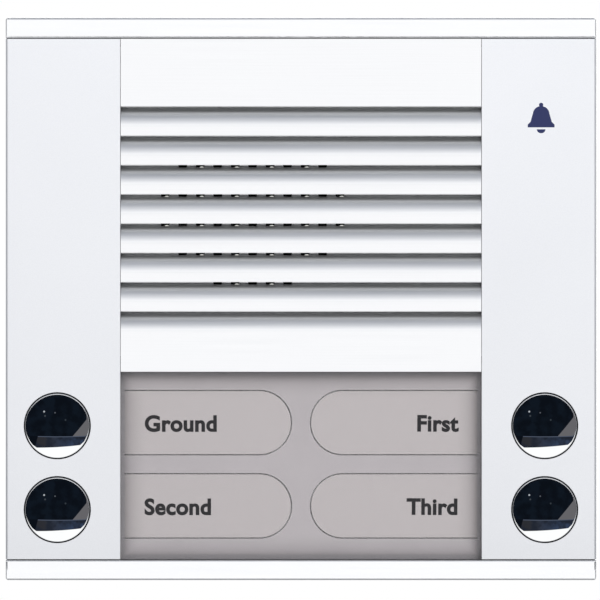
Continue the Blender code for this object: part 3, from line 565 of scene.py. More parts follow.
def finishes():
    table = {name: moulded(name, *values) for name, values in PLASTICS.items()}
    table.update({name: bright_metal(name, *values) for name, values in METALS.items()})
    table["aluminium"] = sand_matt("anodised_matt", (0.855, 0.865, 0.89))
    table["brushed_aluminium"] = brushed("anodised_brushed", (0.905, 0.91, 0.92))
    louvres = brushed("anodised_louvre", (0.955, 0.96, 0.97))
    # Painted shade: the flat front face a little darker, and each groove darkest partway down, under its lip
    table["louvre_aluminium"] = louvres.by_depth(LOUVRE_SHADE)
    # A roughness of exactly 0 is what makes the sky show the chrome its dark room
    chrome = Finish("chrome", (0.86, 0.87, 0.88), 0.0, 1.0)
    chrome.relief(chrome.noise(220, detail=1.0), 0.0000006)
    table["chrome"] = chrome.tint(chrome.noise(300, detail=3.0), 0.01)
    window = Finish("clear_window", (0.60, 0.58, 0.58), 0.35, Alpha=0.02, Specular_IOR_Level=0.08)
    table["clear_window"] = window.rough(window.noise(900, detail=3.0), 0.05)
    card = Finish("label_card", (0.465, 0.430, 0.430), 0.75)
    card.tint(card.noise(1400, (1, 1, 3), 4.0), 0.03)
    table["label_card"] = card.relief(card.noise(3000, detail=3.0), 0.00001)
    # Painted shadow: the mask and the cards darken towards the edges of the name field's opening
    for finish in (card, table["mask_grey"]):
        finish.by_edges(COLUMN_INNER, (-RAIL_INNER, GRILLE_FOOT), FIELD_SHADE)
    ink = Finish("label_ink", (0.008, 0.008, 0.010), 0.7, Specular_IOR_Level=0.1)
    table["label_ink"] = ink.relief(ink.cells(2600), 0.000002)
    cloth = Finish("speaker_cloth", (0.006, 0.006, 0.007), 0.9, Specular_IOR_Level=0.1)
    table["speaker_cloth"] = cloth.relief(cloth.cells(2200), 0.00005)
    guide = Finish("light_guide", (0.90, 0.91, 0.90), 0.35, Transmission_Weight=0.35)
    table["light_guide"] = guide.clouded(0.02, 0.05, 200)
    foam = Finish("foam", (0.035, 0.035, 0.037), 0.95)
    table["foam"] = foam.relief(foam.cells(1800), 0.00012).tint(foam.cells(1800), 0.5)
    cone = Finish("cone_paper", (0.035, 0.034, 0.033), 0.85)
    cone.relief(cone.noise(1600, detail=5.0), 0.00005)
    table["cone_paper"] = cone.tint(cone.noise(900, detail=4.0), 0.3)
    board = Finish("board", (0.018, 0.13, 0.055), 0.33, Coat_Weight=0.3).clouded(0.08, 0.06, 120)
    table["board"] = board.relief(board.noise(900, detail=3.0), 0.00001)
    ferrite = Finish("ferrite", (0.055, 0.055, 0.06), 0.55, 0.2)
    table["ferrite"] = ferrite.relief(ferrite.noise(1500, detail=5.0), 0.00005).clouded(0.25, 0.1, 300)
    track = Finish("copper_track", (0.05, 0.25, 0.10), 0.3, 0.35)
    table["copper_track"] = track.clouded(0.1, 0.05, 300)
    table["capacitor"] = Finish("capacitor_sleeve", (0.02, 0.03, 0.07), 0.3).clouded(0.15, 0.06, 300)
    lens = Finish("led_lens", (0.93, 0.90, 0.68), 0.2, Transmission_Weight=0.4)
    table["led"] = lens.clouded(0.03, 0.05, 400)
    return table


FINISHES = finishes()
SMOOTH_BELOW = math.radians(32)
EVENLY_CURVED = ("chrome", "spring_steel", "cone_paper")


def dressed(obj, finish, near, replaced=()):
    """Gives a piece its finish, and makes it ride with the CAD node it is near."""
    obj.data.materials.clear()
    obj.data.materials.append(FINISHES[finish].material)
    obj.data.shade_smooth()
    obj.data.set_sharp_from_angle(angle=SMOOTH_BELOW)
    if SLOT_OF[near] not in EVENLY_CURVED:
        weighted = obj.modifiers.new("flat_faces_stay_flat", "WEIGHTED_NORMAL")
        weighted.weight = 90
        weighted.keep_sharp = True
    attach(obj, BODY_OF[near])
    if replaced:
        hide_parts(*replaced)
    return obj


def stands_for(obj, node, finish=None):
    return dressed(obj, finish or SLOT_OF[node], node, (node,))


# The casing


def column_outlines():
    """The right column's section: front wall, side wall with a rib, and the screw port."""
    meets_wall = math.degrees(math.acos((INSIDE - PORT_X) / PORT_RADIUS))
    rib, rib_width, rib_reach = CHASSIS_FRONT + GAP, 0.0012, 0.0020
    seam_edge, foot = 0.00012, 0.0005
    outline = arc((COLUMN_INNER + seam_edge, FRONT - seam_edge), seam_edge, 180, 90, 2)
    outline += arc((HALF_WIDTH - COLUMN_EDGE, FRONT - COLUMN_EDGE), COLUMN_EDGE, 90, 0, 8)
    outline += arc((HALF_WIDTH - foot, REAR_EDGE + foot), foot, 0, -90, 4)
    outline.append((INSIDE, REAR_EDGE))
    outline += arc((PORT_X, PORT_OUT), PORT_RADIUS, -meets_wall, -270, 24)
    outline += [
        (INSIDE, CHASSIS_BACK - GAP),
        (INSIDE, rib),
        (INSIDE - rib_reach, rib),
        (INSIDE - rib_reach, rib + rib_width),
        (INSIDE, rib + rib_width),
        (INSIDE, BEHIND_FRONT),
        (COLUMN_INNER, BEHIND_FRONT),
    ]
    return [outline, circle((PORT_X, PORT_OUT), PORT_BORE, 20)]


def make_column(node, side, buttons):
    outlines = [[(side * x, out) for x, out in outline] for outline in column_outlines()]
    span = (-COLUMN_TOP, COLUMN_TOP)
    column = section(node + "_section", outlines, span, 0.00008, 1, "x_out")
    bore, break_edge, past = 0.0085, 0.00006, 0.004
    profile = [(0.0, past), (bore + past + break_edge, past), (bore, -break_edge)]
    profile += [(bore, -0.005), (0.0, -0.005)]
    cutters = []
    for button in buttons:
        place = middle(button)
        cutters.append(turned("button_bore", profile, (place.x, FRONT, place.z), "out", 96))
    stands_for(cut(column, *cutters), node)


def screw_hole(name, place, facing, head, shank, ease):
    """A countersunk hole cutter, with the radius of the head and the shank, and the sunk edge."""
    profile = [(0.0, 0.0004), (head, 0.0004), (head, -ease), (shank[0], -0.0014), (shank[0], -shank[1])]
    return turned(name, profile + [(0.0, -shank[1])], place, facing, 32)


def make_rail(node, side):
    corner, edge, seam_edge, under = 0.00065, 0.00045, 0.0001, HALF_HEIGHT - 0.0015
    reach_x = HALF_WIDTH - corner
    reach_z = HALF_HEIGHT - corner
    outline = arc((reach_x, reach_z), corner, 0, 90, 6) + arc((-reach_x, reach_z), corner, 90, 180, 6)
    outline += arc((-HALF_WIDTH + seam_edge, RAIL_INNER + seam_edge), seam_edge, 180, 270, 2)
    outline += arc((HALF_WIDTH - seam_edge, RAIL_INNER + seam_edge), seam_edge, 270, 360, 2)
    outline = [(x, side * height) for x, height in outline]
    rail = section(node + "_cap", [outline], (REAR_EDGE, FRONT), edge)
    hollow_z = sorted((side * (RAIL_INNER - 0.004), side * under))
    rail = cut(rail, block("rail_hollow", (-INSIDE, INSIDE), (-0.001, BEHIND_FRONT), hollow_z))
    facing = "up" if side > 0 else "down"
    bosses, holes = [], []
    for x in (-PORT_X, PORT_X):
        bosses.append(rod("boss", (x, PORT_OUT, 0.0), PORT_RADIUS, (RAIL_INNER, under + GAP), facing, 32))
        place = (x, PORT_OUT, side * HALF_HEIGHT)
        holes.append(screw_hole("rail_hole", place, facing, 0.0030, (0.0015, 0.008), 0.0001))
    if side < 0:
        for x in (-LOCK_X, LOCK_X):
            span = (under - 0.0014, under + GAP)
            bosses.append(rod("boss", (x, LOCK_OUT, 0.0), 0.0030, span, facing, 32))
            place = (x, LOCK_OUT, -HALF_HEIGHT)
            holes.append(screw_hole("lock_hole", place, facing, 0.0028, (0.00155, 0.006), 0.0002))
        place = (0.0, -middle("microphone").y, 0.0)
        holes.append(rod("sound_port", place, 0.0008, (under - 0.001, under + 0.003), facing, 24))
    stands_for(cut(add(rail, *bosses), *holes), node, "brushed_aluminium")
    seal_z = sorted((side * (RAIL_INNER - 0.00002), side * (COLUMN_TOP + 0.00002)))
    seal = block(node + "_seal", (-INSIDE, INSIDE), (BEHIND_FRONT - 0.0008, FRONT - 0.0005), seal_z)
    dressed(seal, "rubber", "front_chassis")


def grille_outline():
    """Flat head, eight grooves with rounded shoulders, and flat foot."""
    floor = FRONT - GROOVE_DEPTH
    outline = [(GRILLE_BACK, COLUMN_TOP), (FRONT, COLUMN_TOP)]
    for lip in LIPS:
        outline += arc((FRONT - LIP_EDGE, lip + LIP_EDGE), LIP_EDGE, 0, -90, 2)
        outline.append((floor, lip))
        outline += arc((floor, lip - GROOVE_WALL - SLAT_CURVE), (GROOVE_DEPTH, SLAT_CURVE), 90, 0, 16)
    outline += arc((FRONT - LIP_EDGE, GRILLE_FOOT + LIP_EDGE), LIP_EDGE, 0, -90, 2)
    step = GRILLE_FOOT + 0.0030
    return outline + [(BEHIND_FRONT, GRILLE_FOOT), (BEHIND_FRONT, step), (GRILLE_BACK, step)]


def make_grille():
    span = (-GRILLE_HALF, GRILLE_HALF)
    grille = section("louvre_grille_section", [grille_outline()], span, plane="out_z")
    low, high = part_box("louvre_grille")
    tongue_z = (low.z + 0.0040, COLUMN_TOP - 0.0020)
    tongue = block("tongue", (low.x, high.x), (GRILLE_BACK + 0.0003, GRILLE_BACK + 0.0015), tongue_z)
    grille = add(grille, tongue)
    floor = FRONT - GROOVE_DEPTH
    holes, edges = [], []
    for row, count in SOUND_HOLES.items():
        for index in range(count):
            x = SPEAKER[0] + SOUND_HOLE_PITCH * (index - (count - 1) / 2)
            z = [LIPS[row] + rise for rise in SOUND_HOLE_Z]
            outline = rounded(around(x, SOUND_HOLE_X), z, 0.0003)
            holes.append(section("sound_hole", [outline], (GRILLE_BACK - 0.001, floor + 0.0026)))
            # Every second hole gets a bright steel crescent low inside it, which stands in for the glint
            # seen there: a painted glint
            if (index - count // 2) % 2:
                outline = arc((x + 0.00045, z[0] - 0.00005), (0.00058, 0.00030), 0, 180, 10)
                edges.append(section("sound_hole_glint", [outline], (floor + 0.0006, floor + 0.0020)))
    stands_for(cut(grille, joined("sound_holes", holes)), "louvre_grille", "louvre_aluminium")
    dressed(joined("sound_hole_glints", edges), "zinc_steel", "louvre_grille")
    span = (GRILLE_BACK - 0.00022, GRILLE_BACK - 0.00008)
    cloth = section("speaker_cloth", [circle(tuple(SPEAKER), 0.0262, 72)], span)
    dressed(cloth, "speaker_cloth", "louvre_grille")


# The name field


def label_outline(side, z, radius):
    """A label's D shape: straight outer end, round inner end."""
    tip, end = 0.00226, 0.0451
    outline = arc((tip + LABEL_RADIUS, z), radius, 90, 270, 40)
    outline += [(end, z - radius), (end, z + radius)]
    return [(side * x, height) for x, height in outline]


def text(name, words, place, align, tilt):
    """Raised print with its foot at a place on the front."""
    curve = bpy.data.curves.new(name, "FONT")
    curve.body = words
    curve.align_x = align
    curve.size = CAPITAL_HEIGHT / CAPITAL_SHARE_OF_FONT_SIZE
    curve.space_character = 1.04
    curve.bevel_depth = CAPITAL_HEIGHT * 0.05
    curve.bevel_resolution = 0
    curve.resolution_u = 6
    # The bevel thickens the strokes, and is flattened to the height of a print
    obj = linked(name, curve)
    flat = Matrix.Diagonal((1.0, 1.0, 0.1, 1.0))
    turn = Matrix.Rotation(tilt, 4, "Y") @ Matrix.Rotation(math.pi / 2, 4, "X")
    obj.matrix_world = Matrix.Translation(point(*place)) @ turn @ flat
    return settled(obj)


def make_name_field():
    outline = face_outline("name_window", 0.0006)
    window = section("name_window_sheet", [outline], outs("name_window"), 0.0001)
    stands_for(window, "name_window")
    places = [middle(node) for node in numbered("name_label")]
    labels = [(1 if place.x > 0 else -1, place.z) for place in places]
    outlines = [face_outline("label_mask", 0.0006)]
    outlines += [label_outline(side, z, LABEL_RADIUS) for side, z in labels]
    stands_for(section("label_mask_sheet", outlines, outs("label_mask")), "label_mask")
    # The dark frame round the opening is painted shade
    make_window_shade_frame()
    face = outs("name_label_1")[1]
    for number, (side, z) in enumerate(labels, 1):
        node = f"name_label_{number}"
        outline = label_outline(side, z, LABEL_RADIUS - GAP)
        stands_for(section(node + "_card", [outline], outs(node)), node)
        start, align, tilt = (-0.0398, "LEFT", 0.0) if side < 0 else (0.0399, "RIGHT", 0.006)
        place = (start, face + 0.00002, z - 0.00215)
        words = text(f"name_{number}_print", LABEL_WORDS[number - 1], place, align, tilt)
        dressed(words, "label_ink", node)


def make_window_shade_frame():
    """A thin dark frame behind the window's edge, of which a strip shows all round the opening: painted
    shade, standing in for the dark band of shadow along the opening's edges.
    """
    inner_x = COLUMN_INNER - 0.0011
    inner_z = (-RAIL_INNER + 0.0013, GRILLE_FOOT - 0.0010)
    outlines = [
        face_outline("name_window", 0.0006, 0.0008, 0.0005),
        rounded((-inner_x, inner_x), inner_z, 0.0002, 2),
    ]
    out = (outs("label_mask")[1] + 0.00004, outs("name_window")[0] - 0.00004)
    dressed(section("window_shade_frame", outlines, out), "shade_frame_grey", "label_mask")


def make_bell_mark():
    """A small navy bell, printed on the right column above the middle."""
    x, z = 0.0610, 0.0457
    skirt = [(-0.0034, -0.0021), (-0.0034, -0.0014)]
    left = [(-0.0027, -0.0007), (-0.0024, 0.0004), (-0.0021, 0.0014)]
    crown = arc((0.0, 0.0013), (0.0021, 0.0020), 180, 90, 6)
    half = skirt + left + crown[1:]
    outline = half + [(-px, pz) for px, pz in reversed(half[:-1])]
    knob = circle((0.0, 0.0036), 0.00055, 16)
    clapper = arc((0.0, -0.0026), (0.0011, 0.0010), 180, 360, 12)
    shapes = []
    for number, shape in enumerate((outline, knob, clapper)):
        shifted = [(x + px, z + pz) for px, pz in shape]
        shapes.append(section("bell", [shifted], (FRONT - 0.00001 * (number + 1), FRONT + 0.00002)))
    dressed(add(*shapes), "navy_print", "right_column")


# The call buttons and what each one works


def button_profile(node):
    """Domed cap with a tight round edge, flange behind the column's wall, and hollow stem."""
    tip, crown = outs(node)
    rim, reach = 0.0263, 0.0078
    radius, flange_radius, stem = 0.0082, 0.0091, 0.0030
    edge, flange_edge = 0.00038, 0.0003
    flange = (BEHIND_FRONT - GAP, BEHIND_FRONT - GAP - 0.0014)
    sag = crown - rim
    dome = (reach * reach + sag * sag) / (2 * sag)
    edge_height = crown - dome + math.sqrt((dome - edge) ** 2 - (radius - edge) ** 2)
    tilt = math.degrees(math.asin((radius - edge) / (dome - edge)))
    steps = 28
    profile = []
    for step in range(steps):
        angle = math.radians(tilt * step / steps)
        profile.append((dome * math.sin(angle), crown - dome + dome * math.cos(angle)))
    profile += arc((radius - edge, edge_height), edge, 90 - tilt, 0, 10)
    profile += [(radius, flange[0])]
    profile += arc((flange_radius - flange_edge, flange[0] - flange_edge), flange_edge, 90, 0, 3)
    profile += [(flange_radius, flange[1]), (stem, flange[1])]
    profile += arc((stem - flange_edge, tip + flange_edge), flange_edge, 0, -90, 3)
    return profile + [(0.0, tip)]


def coil(name, centre, radius, span, turns, thickness):
    """A compression spring with closed ends, as a wire along the distance out."""
    steps = int(turns * 28)
    points = []
    for step in range(steps + 1):
        share = step / steps
        angle = 2 * math.pi * turns * share
        out = span[0] + thickness + (span[1] - span[0] - 2 * thickness) * share
        points.append(point(centre.x + radius * math.cos(angle), out, centre.z + radius * math.sin(angle)))
    return wire(name, points, thickness)


def make_button_set(number):
    node = f"call_button_{number}"
    at = axis(node)
    stands_for(turned(node + "_cap", button_profile(node), at, "out", 128), node)
    # Each button's bore gets a near-black liner, which darkens the gap round the cap as shade would: painted
    # shade
    inner, outer, foot, top = 0.00823, 0.00849, BEHIND_FRONT - 0.0001, FRONT - 0.00022
    gap_shade = [(inner, foot), (inner, top), (outer, top), (outer, foot)]
    gap_shade = turned(f"button_gap_shade_{number}", gap_shade, at, "out", 128, closed=True)
    dressed(gap_shade, "speaker_cloth", "front_chassis")
    spring_node = f"return_spring_{number}"
    spring = coil(spring_node + "_coil", middle(node), 0.0060, outs(spring_node), 3.0, 0.0004)
    stands_for(spring, spring_node)
    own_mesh(spring)
    make_switch(f"button_switch_{number}", at)
    plunger_node = f"switch_plunger_{number}"
    back, tip = outs(plunger_node)
    profile = [(0.0, tip)] + arc((0.0013, tip - 0.0004), 0.0004, 90, 0, 4)
    profile += [(0.0017, back + 0.0006), (0.00175, back + 0.0006), (0.00175, back), (0.0, back)]
    stands_for(turned(plunger_node + "_rod", profile, at, "out", 40), plunger_node)


def make_switch(node, at):
    """A square push switch with a steel cover and its corner pegs."""
    x, _, z = at
    back, front = outs(node)
    bore, cover, peg = 0.00205, 0.0003, 0.0022
    body = node_block(node, "_body", (back, front - cover), 0.00025)
    stands_for(cut(body, rod("bore", at, bore, (back + GAP, front + 0.001), "out", 40)), node)
    outlines = [face_outline(node, 0.0004, 0.0001, 0.0001), circle((x, z), bore, 40)]
    cover = section(node + "_cover", outlines, (front - cover, front), 0.00005)
    dressed(cover, "screw_steel", node)
    profile = [(0.0, 0.0003)] + arc((0.0, 0.0), (0.00045, 0.0003), 80, 0, 4) + [(0.0, 0.0)]
    places = [(x + dx, front - 0.00002, z + dz) for dx in (-peg, peg) for dz in (-peg, peg)]
    pegs = [turned("peg", profile, place, "out", 16) for place in places]
    dressed(joined(node + "_pegs", pegs), "switch_black", node)


# The board and what is on it


def strip(points, width, out, thickness):
    """A copper track through points on the board's back, with mitred bends."""
    shape = bmesh.new()
    left, right = [], []
    count = len(points)
    for index, (x, z) in enumerate(points):
        here = Vector((x, z))
        before = Vector(points[max(index - 1, 0)])
        after = Vector(points[min(index + 1, count - 1)])
        ahead = (after - here).normalized() if index < count - 1 else (here - before).normalized()
        behind = (here - before).normalized() if index else ahead
        normal = Vector((-(ahead + behind).y, (ahead + behind).x)).normalized()
        reach = width / 2 / max(0.5, normal.dot(Vector((-ahead.y, ahead.x))))
        left.append(here + normal * reach)
        right.append(here - normal * reach)
    lows, highs = [], []
    for outline, level in ((lows, out), (highs, out - thickness)):
        for edge in left + list(reversed(right)):
            outline.append(shape.verts.new(point(edge.x, level, edge.y)))
    size = len(lows)
    for index in range(size // 2 - 1):
        other = size - 1 - index
        shape.faces.new((highs[index], highs[index + 1], highs[other - 1], highs[other]))
        shape.faces.new((lows[index], lows[other], lows[other - 1], lows[index + 1]))
    for index in range(size):
        after = (index + 1) % size
        shape.faces.new((lows[index], lows[after], highs[after], highs[index]))
    return made("track", shape)


def bend(start, end, first="x"):
    """A route between two points that starts along an axis and has a 45-degree corner."""
    (x0, z0), (x1, z1) = start, end
    run_x, run_z = abs(x1 - x0), abs(z1 - z0)
    run = min(run_x, run_z)
    step_x = math.copysign(run, x1 - x0)
    step_z = math.copysign(run, z1 - z0)
    if first == "x":
        corner = (x1 - step_x, z0) if run_z <= run_x else (x1, z0 + step_z)
    else:
        corner = (x0, z1 - step_z) if run_x <= run_z else (x0 + step_x, z1)
    kept = [start]
    for place in (corner, end):
        if (Vector(place) - Vector(kept[-1])).length > 0.0003:
            kept.append(place)
    return kept


def solder_joint(x, z, out):
    """A small cone of solder round a pin's end, on the board's back."""
    radius, height = 0.0007, 0.0005
    profile = [(0.0, height + 0.0003), (0.0002, height + 0.00026), (0.00025, height)]
    profile += [(0.0004, height * 0.45), (radius, 0.0), (0.0, -0.00002)]
    return turned("joint", profile, (x, out, z), "in", 14)


def chip_resistor(x, z, out, upright, thick):
    """A small part's body and its two metal ends."""
    length, width = 0.0020, 0.00125
    shares = (((-0.36, 0.36), (-0.5, 0.5)), ((-0.5, -0.34), (-0.52, 0.52)), ((0.34, 0.5), (-0.52, 0.52)))
    shapes = []
    for index, (along, across) in enumerate(shares):
        a = (along[0] * length, along[1] * length)
        b = (across[0] * width, across[1] * width)
        dx, dz = (b, a) if upright else (a, b)
        high = out - thick * (0.92 if index == 0 else 1.0)
        span = (high, out + 0.00001)
        shapes.append(block("resistor", (x + dx[0], x + dx[1]), span, (z + dz[0], z + dz[1]), 0.00006))
    return shapes[0], shapes[1:]


def make_main_board():
    back, front = outs("main_board")
    screws = [middle(node).xz for node in numbered("board_screw")]
    vias = [
        (-0.0565, -0.0300), (-0.0520, -0.0360), (0.0565, -0.0300), (0.0455, -0.0345), (0.0200, -0.0590),
        (-0.0200, -0.0600), (0.0235, -0.0245), (-0.0240, -0.0250), (0.0020, -0.0440), (-0.0040, -0.0460),
    ]
    outlines = [face_outline("main_board", 0.0010)]
    outlines += [circle(place, 0.0016, 28) for place in screws]
    outlines += [circle(place, 0.0003, 12) for place in vias]
    stands_for(section("main_board_laminate", outlines, (back, front), 0.0001, 1), "main_board")
    rings = [[circle(place, 0.0007, 20), circle(place, 0.0003, 12)] for place in vias]
    rings += [[circle(place, 0.0030, 40), circle(place, 0.0017, 28)] for place in screws]
    pads = [section("ring", ring, (back - 0.00005, back + 0.00001)) for ring in rings]
    dressed(joined("board_pads", pads), "solder", "main_board")
    make_tracks(back)
    make_small_parts(back)
    make_joints(back)


def make_tracks(back):
    """Tracks as (route, width), each a hair higher than the one before it, where they cross."""
    chip = middle("controller_chip")
    pitch, reach = 0.0008, 0.0072
    tracks = []
    for index in range(6):
        offset = pitch * (index - 2.5)
        pole = 0.0050 * (min(index, 4) - 2)
        start = (chip.x + reach, chip.z + offset + 0.0030)
        tracks.append((bend(start, (pole - 0.0004 * (index - 2), -0.0395)), 0.00030))
        lower = (chip.x + offset, chip.z - reach)
        tracks.append((bend(lower, (-0.0240 + 0.0022 * index, -0.0625), "z"), 0.00025))
    for number, node in enumerate(numbered("button_switch")):
        switch = middle(node)
        side = -1 if switch.x < 0 else 1
        pad = (switch.x - side * 0.0045, switch.z + 0.0022)
        inner = (side * 0.0500, switch.z + 0.0022 - side * 0.0012)
        turning = (side * 0.0470, inner[1])
        tracks.append((bend(pad, inner) + [turning], 0.00030))
        if side > 0:
            end = (0.0180, -0.0410 - 0.0012 * number)
        else:
            end = (chip.x - reach, chip.z + 0.0010 * number)
        tracks.append((bend(turning, end), 0.00030))
    for number, node in enumerate(numbered("backlight_led")):
        light = middle(node)
        end = (0.0060 * (number - 1.5), -0.0225 - 0.0008 * number)
        tracks.append((bend((light.x + 0.0012, light.z), end), 0.00028))
        tracks.append((bend((light.x - 0.0012, light.z), (light.x - 0.0040, -0.0615), "z"), 0.00028))
    for index in range(5):
        pole = 0.0050 * (index - 2)
        tracks.append((bend((pole, -0.0330), (0.0300 + 0.0012 * index, -0.0230), "z"), 0.00055))
    supply = [(-0.0640, -0.0210), (-0.0100, -0.0210), (-0.0080, -0.0230)]
    supply += [(0.0500, -0.0230), (0.0640, -0.0215)]
    tracks.append((supply, 0.0010))
    tracks.append(([(-0.0440, -0.0632), (0.0440, -0.0632)], 0.0012))
    shapes = []
    for level, (route, width) in enumerate(tracks):
        shapes.append(strip(route, width, back + 0.00001, 0.00004 + 0.0000004 * level))
    dressed(joined("board_tracks", shapes), "copper_track", "main_board")


def make_small_parts(back):
    """Chip resistors and capacitors, small transistors, and the loudspeaker's plug."""
    places = [(-0.0290 + 0.0030 * index, -0.0425, True) for index in range(7)]
    places += [(-0.0480 + 0.0034 * index, -0.0330, False) for index in range(6)]
    for index in range(5):
        places.append((0.0210, -0.0285 - 0.0028 * index, False))
        places.append((0.0470, -0.0400 - 0.0028 * index, False))
    for index in range(5):
        places.append((-0.0280 + 0.0032 * index, -0.0565, True))
        places.append((0.0185 + 0.0032 * index, -0.0565, True))
    bodies, ends = [], []
    for number, (x, z, upright) in enumerate(places):
        body, tips = chip_resistor(x, z, back, upright, 0.0006 if number % 3 else 0.0010)
        bodies.append(body)
        ends += tips
    dressed(joined("board_resistors", bodies), "chip", "main_board")
    for x, z in ((0.0260, -0.0350), (0.0300, -0.0350), (-0.0140, -0.0510), (-0.0180, -0.0510)):
        out = (back - 0.0012, back - 0.0001)
        package = block("transistor", around(x, 0.0015), out, around(z, 0.0008), 0.0001)
        for dx, side in ((-0.00095, -1), (0.00095, -1), (0.0, 1)):
            lead_z = sorted((z + side * 0.0006, z + side * 0.0014))
            out = (back - 0.0003, back + 0.00001)
            ends.append(block("lead", around(x + dx, 0.0002), out, lead_z, 0.00004))
        dressed(package, "chip", "main_board")
    dressed(joined("board_part_ends", ends), "solder", "main_board")
    x, z = -0.0080, -0.0232
    out = (back - 0.0046, back - 0.00005)
    plug = block("speaker_plug", around(x, 0.0040), out, around(z, 0.0018), 0.0002)
    mouths, pins = [], []
    for pin_x in (x - 0.0020, x + 0.0020):
        out = (back - 0.006, back - 0.0016)
        mouths.append(block("mouth", around(pin_x, 0.0009), out, around(z, 0.0008)))
        out = (back - 0.0040, back - 0.0010)
        pins.append(block("pin", around(pin_x, 0.0003), out, around(z, 0.0003), 0.00008))
    dressed(cut(plug, *mouths), "plunger", "main_board")
    dressed(joined("speaker_plug_pins", pins), "brass", "main_board")


def make_joints(back):
    joints = []
    for number in range(1, 5):
        switch = middle(f"button_switch_{number}")
        light = middle(f"backlight_led_{number}")
        for x in (-0.0032, 0.0032):
            for z in (-0.0022, 0.0022):
                if abs(switch.x + x) < 0.0655:
                    joints.append(solder_joint(switch.x + x, switch.z + z, back))
        joints += [solder_joint(light.x + x, light.z, back) for x in (-0.0012, 0.0012)]
    dressed(joined("board_solder_joints", joints), "solder", "main_board")


def make_chip():
    node = "controller_chip"
    low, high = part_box(node)
    back, front = outs(node)
    body = node_block(node, "_body", (back, front - 0.0001), 0.00025)
    mark = (low.x + 0.0015, back + 0.00035, high.z - 0.0015)
    stands_for(cut(body, rod("mark", mark, 0.0006, (-0.0001, 0.0005), "in", 24)), node)
    board = outs("main_board")[0]
    leads = []
    half = (high.x - low.x) / 2
    for side in range(4):
        turn = Matrix.Translation(point(*axis(node))) @ Matrix.Rotation(math.pi / 2 * side, 4, "Y")
        for index in range(11):
            path = [
                (half - 0.0001, back + 0.0008),
                (half + 0.0004, back + 0.0008),
                (half + 0.0006, board - 0.00014),
                (half + 0.0012, board - 0.00010),
            ]
            span = around(0.0008 * (index - 5), 0.00018)
            lead = section("lead", [thick_line(path, 0.00016)], span, plane="x_out")
            leads.append(moved(lead, turn))
    dressed(joined("controller_chip_leads", leads), "solder", node)


def make_capacitor():
    node = "smoothing_capacitor"
    low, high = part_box(node)
    place = middle(node)
    back, front = outs(node)
    radius = (high.x - low.x) / 2
    length = front - back
    rim, groove = radius - 0.0008, 0.0014
    sleeve = [(0.0, length - 0.0001), (rim, length - 0.0001), (rim, length + 0.00004)]
    sleeve += arc((radius - 0.0004, length - 0.0004), 0.0004, 90, 0, 4)
    sleeve += arc((radius, groove + 0.0002), (0.0003, 0.0005), 90, 270, 6)
    sleeve += arc((radius - 0.0003, 0.0003), 0.0003, 0, -90, 3) + [(0.0, 0.0)]
    at = (place.x, front, place.z)
    stands_for(turned(node + "_can", sleeve, at, "in", 56), node)
    span = (back - 0.00006, back + 0.0003)
    vent = section(node + "_vent", [circle((place.x, place.z), radius - 0.0009, 40)], span, 0.00005)
    long, thin = 0.0022, 0.0001
    scores = [
        block("score", around(place.x, long), (back - 0.001, back - 0.00002), around(place.z, thin)),
        block("score", around(place.x, thin), (back - 0.001, back - 0.000019), around(place.z, long)),
    ]
    dressed(cut(vent, *scores), "capsule_metal", node)
    outer, inner, top, foot = radius + 0.00003, radius - 0.0002, length - 0.0008, groove + 0.0009
    stripe = [(outer, top), (outer, foot), (inner, foot), (inner, top)]
    stripe = turned(node + "_stripe", stripe, at, "in", 72, closed=True)
    kept_x = (place.x + 0.0010, place.x + 0.0060)
    kept = block("keep", kept_x, (0.0, 0.02), around(place.z, 0.0014))
    dressed(combined(stripe, [kept], "INTERSECT"), "rotor_white", node)


def make_terminal_block():
    node = "terminal_block"
    low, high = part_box(node)
    back = outs(node)[0]
    count, pitch = 5, 0.0050
    screw_z = high.z - 0.0058
    body = node_block(node, "_housing", outs(node), 0.00030)
    step_x = (low.x - 0.001, high.x + 0.001)
    cuts = [block("step", step_x, (back - 0.001, back + 0.0012), (high.z - 0.0022, high.z + 0.001))]
    screws, cages = [], []
    for index in range(count):
        x = middle(node).x + pitch * (index - (count - 1) / 2)
        out = (back + 0.0026, back + 0.0054)
        cuts.append(block("wire_hole", around(x, 0.0015), out, (high.z - 0.0050, high.z + 0.001), 0.0003))
        cuts.append(rod("screw_well", (x, back, screw_z), 0.0018, (-0.0019, 0.001), "in", 32))
        head = [(0.0, 0.0)] + arc((0.0012, -0.0002), 0.0002, 90, 0, 3) + [(0.0014, -0.0011), (0.0, -0.0011)]
        head = turned("head", head, (x, back + 0.0007, screw_z), "in", 32)
        slot_z = (high.z - 0.0060, high.z - 0.0056)
        screws.append(cut(head, block("slot", around(x, 0.0016), (back, back + 0.0012), slot_z)))
        outlines = [
            rounded(around(x, 0.0013), (back + 0.0027, back + 0.0053), 0.0002, 2),
            rounded(around(x, 0.0010), (back + 0.0030, back + 0.0050), 0.0002, 2),
        ]
        cages.append(section("cage", outlines, (high.z - 0.0040, high.z - 0.0018), plane="x_out"))
    for index in range(count - 1):
        x = middle(node).x + pitch * (index - (count - 2) / 2)
        seam_z = (low.z - 0.001, high.z + 0.001)
        cuts.append(block("seam", around(x, 0.00012), (back - 0.001, back + 0.0003), seam_z))
    stands_for(cut(body, *cuts), node)
    dressed(joined("terminal_screws", screws), "screw_steel", node)
    dressed(joined("terminal_cages", cages), "brass", node)


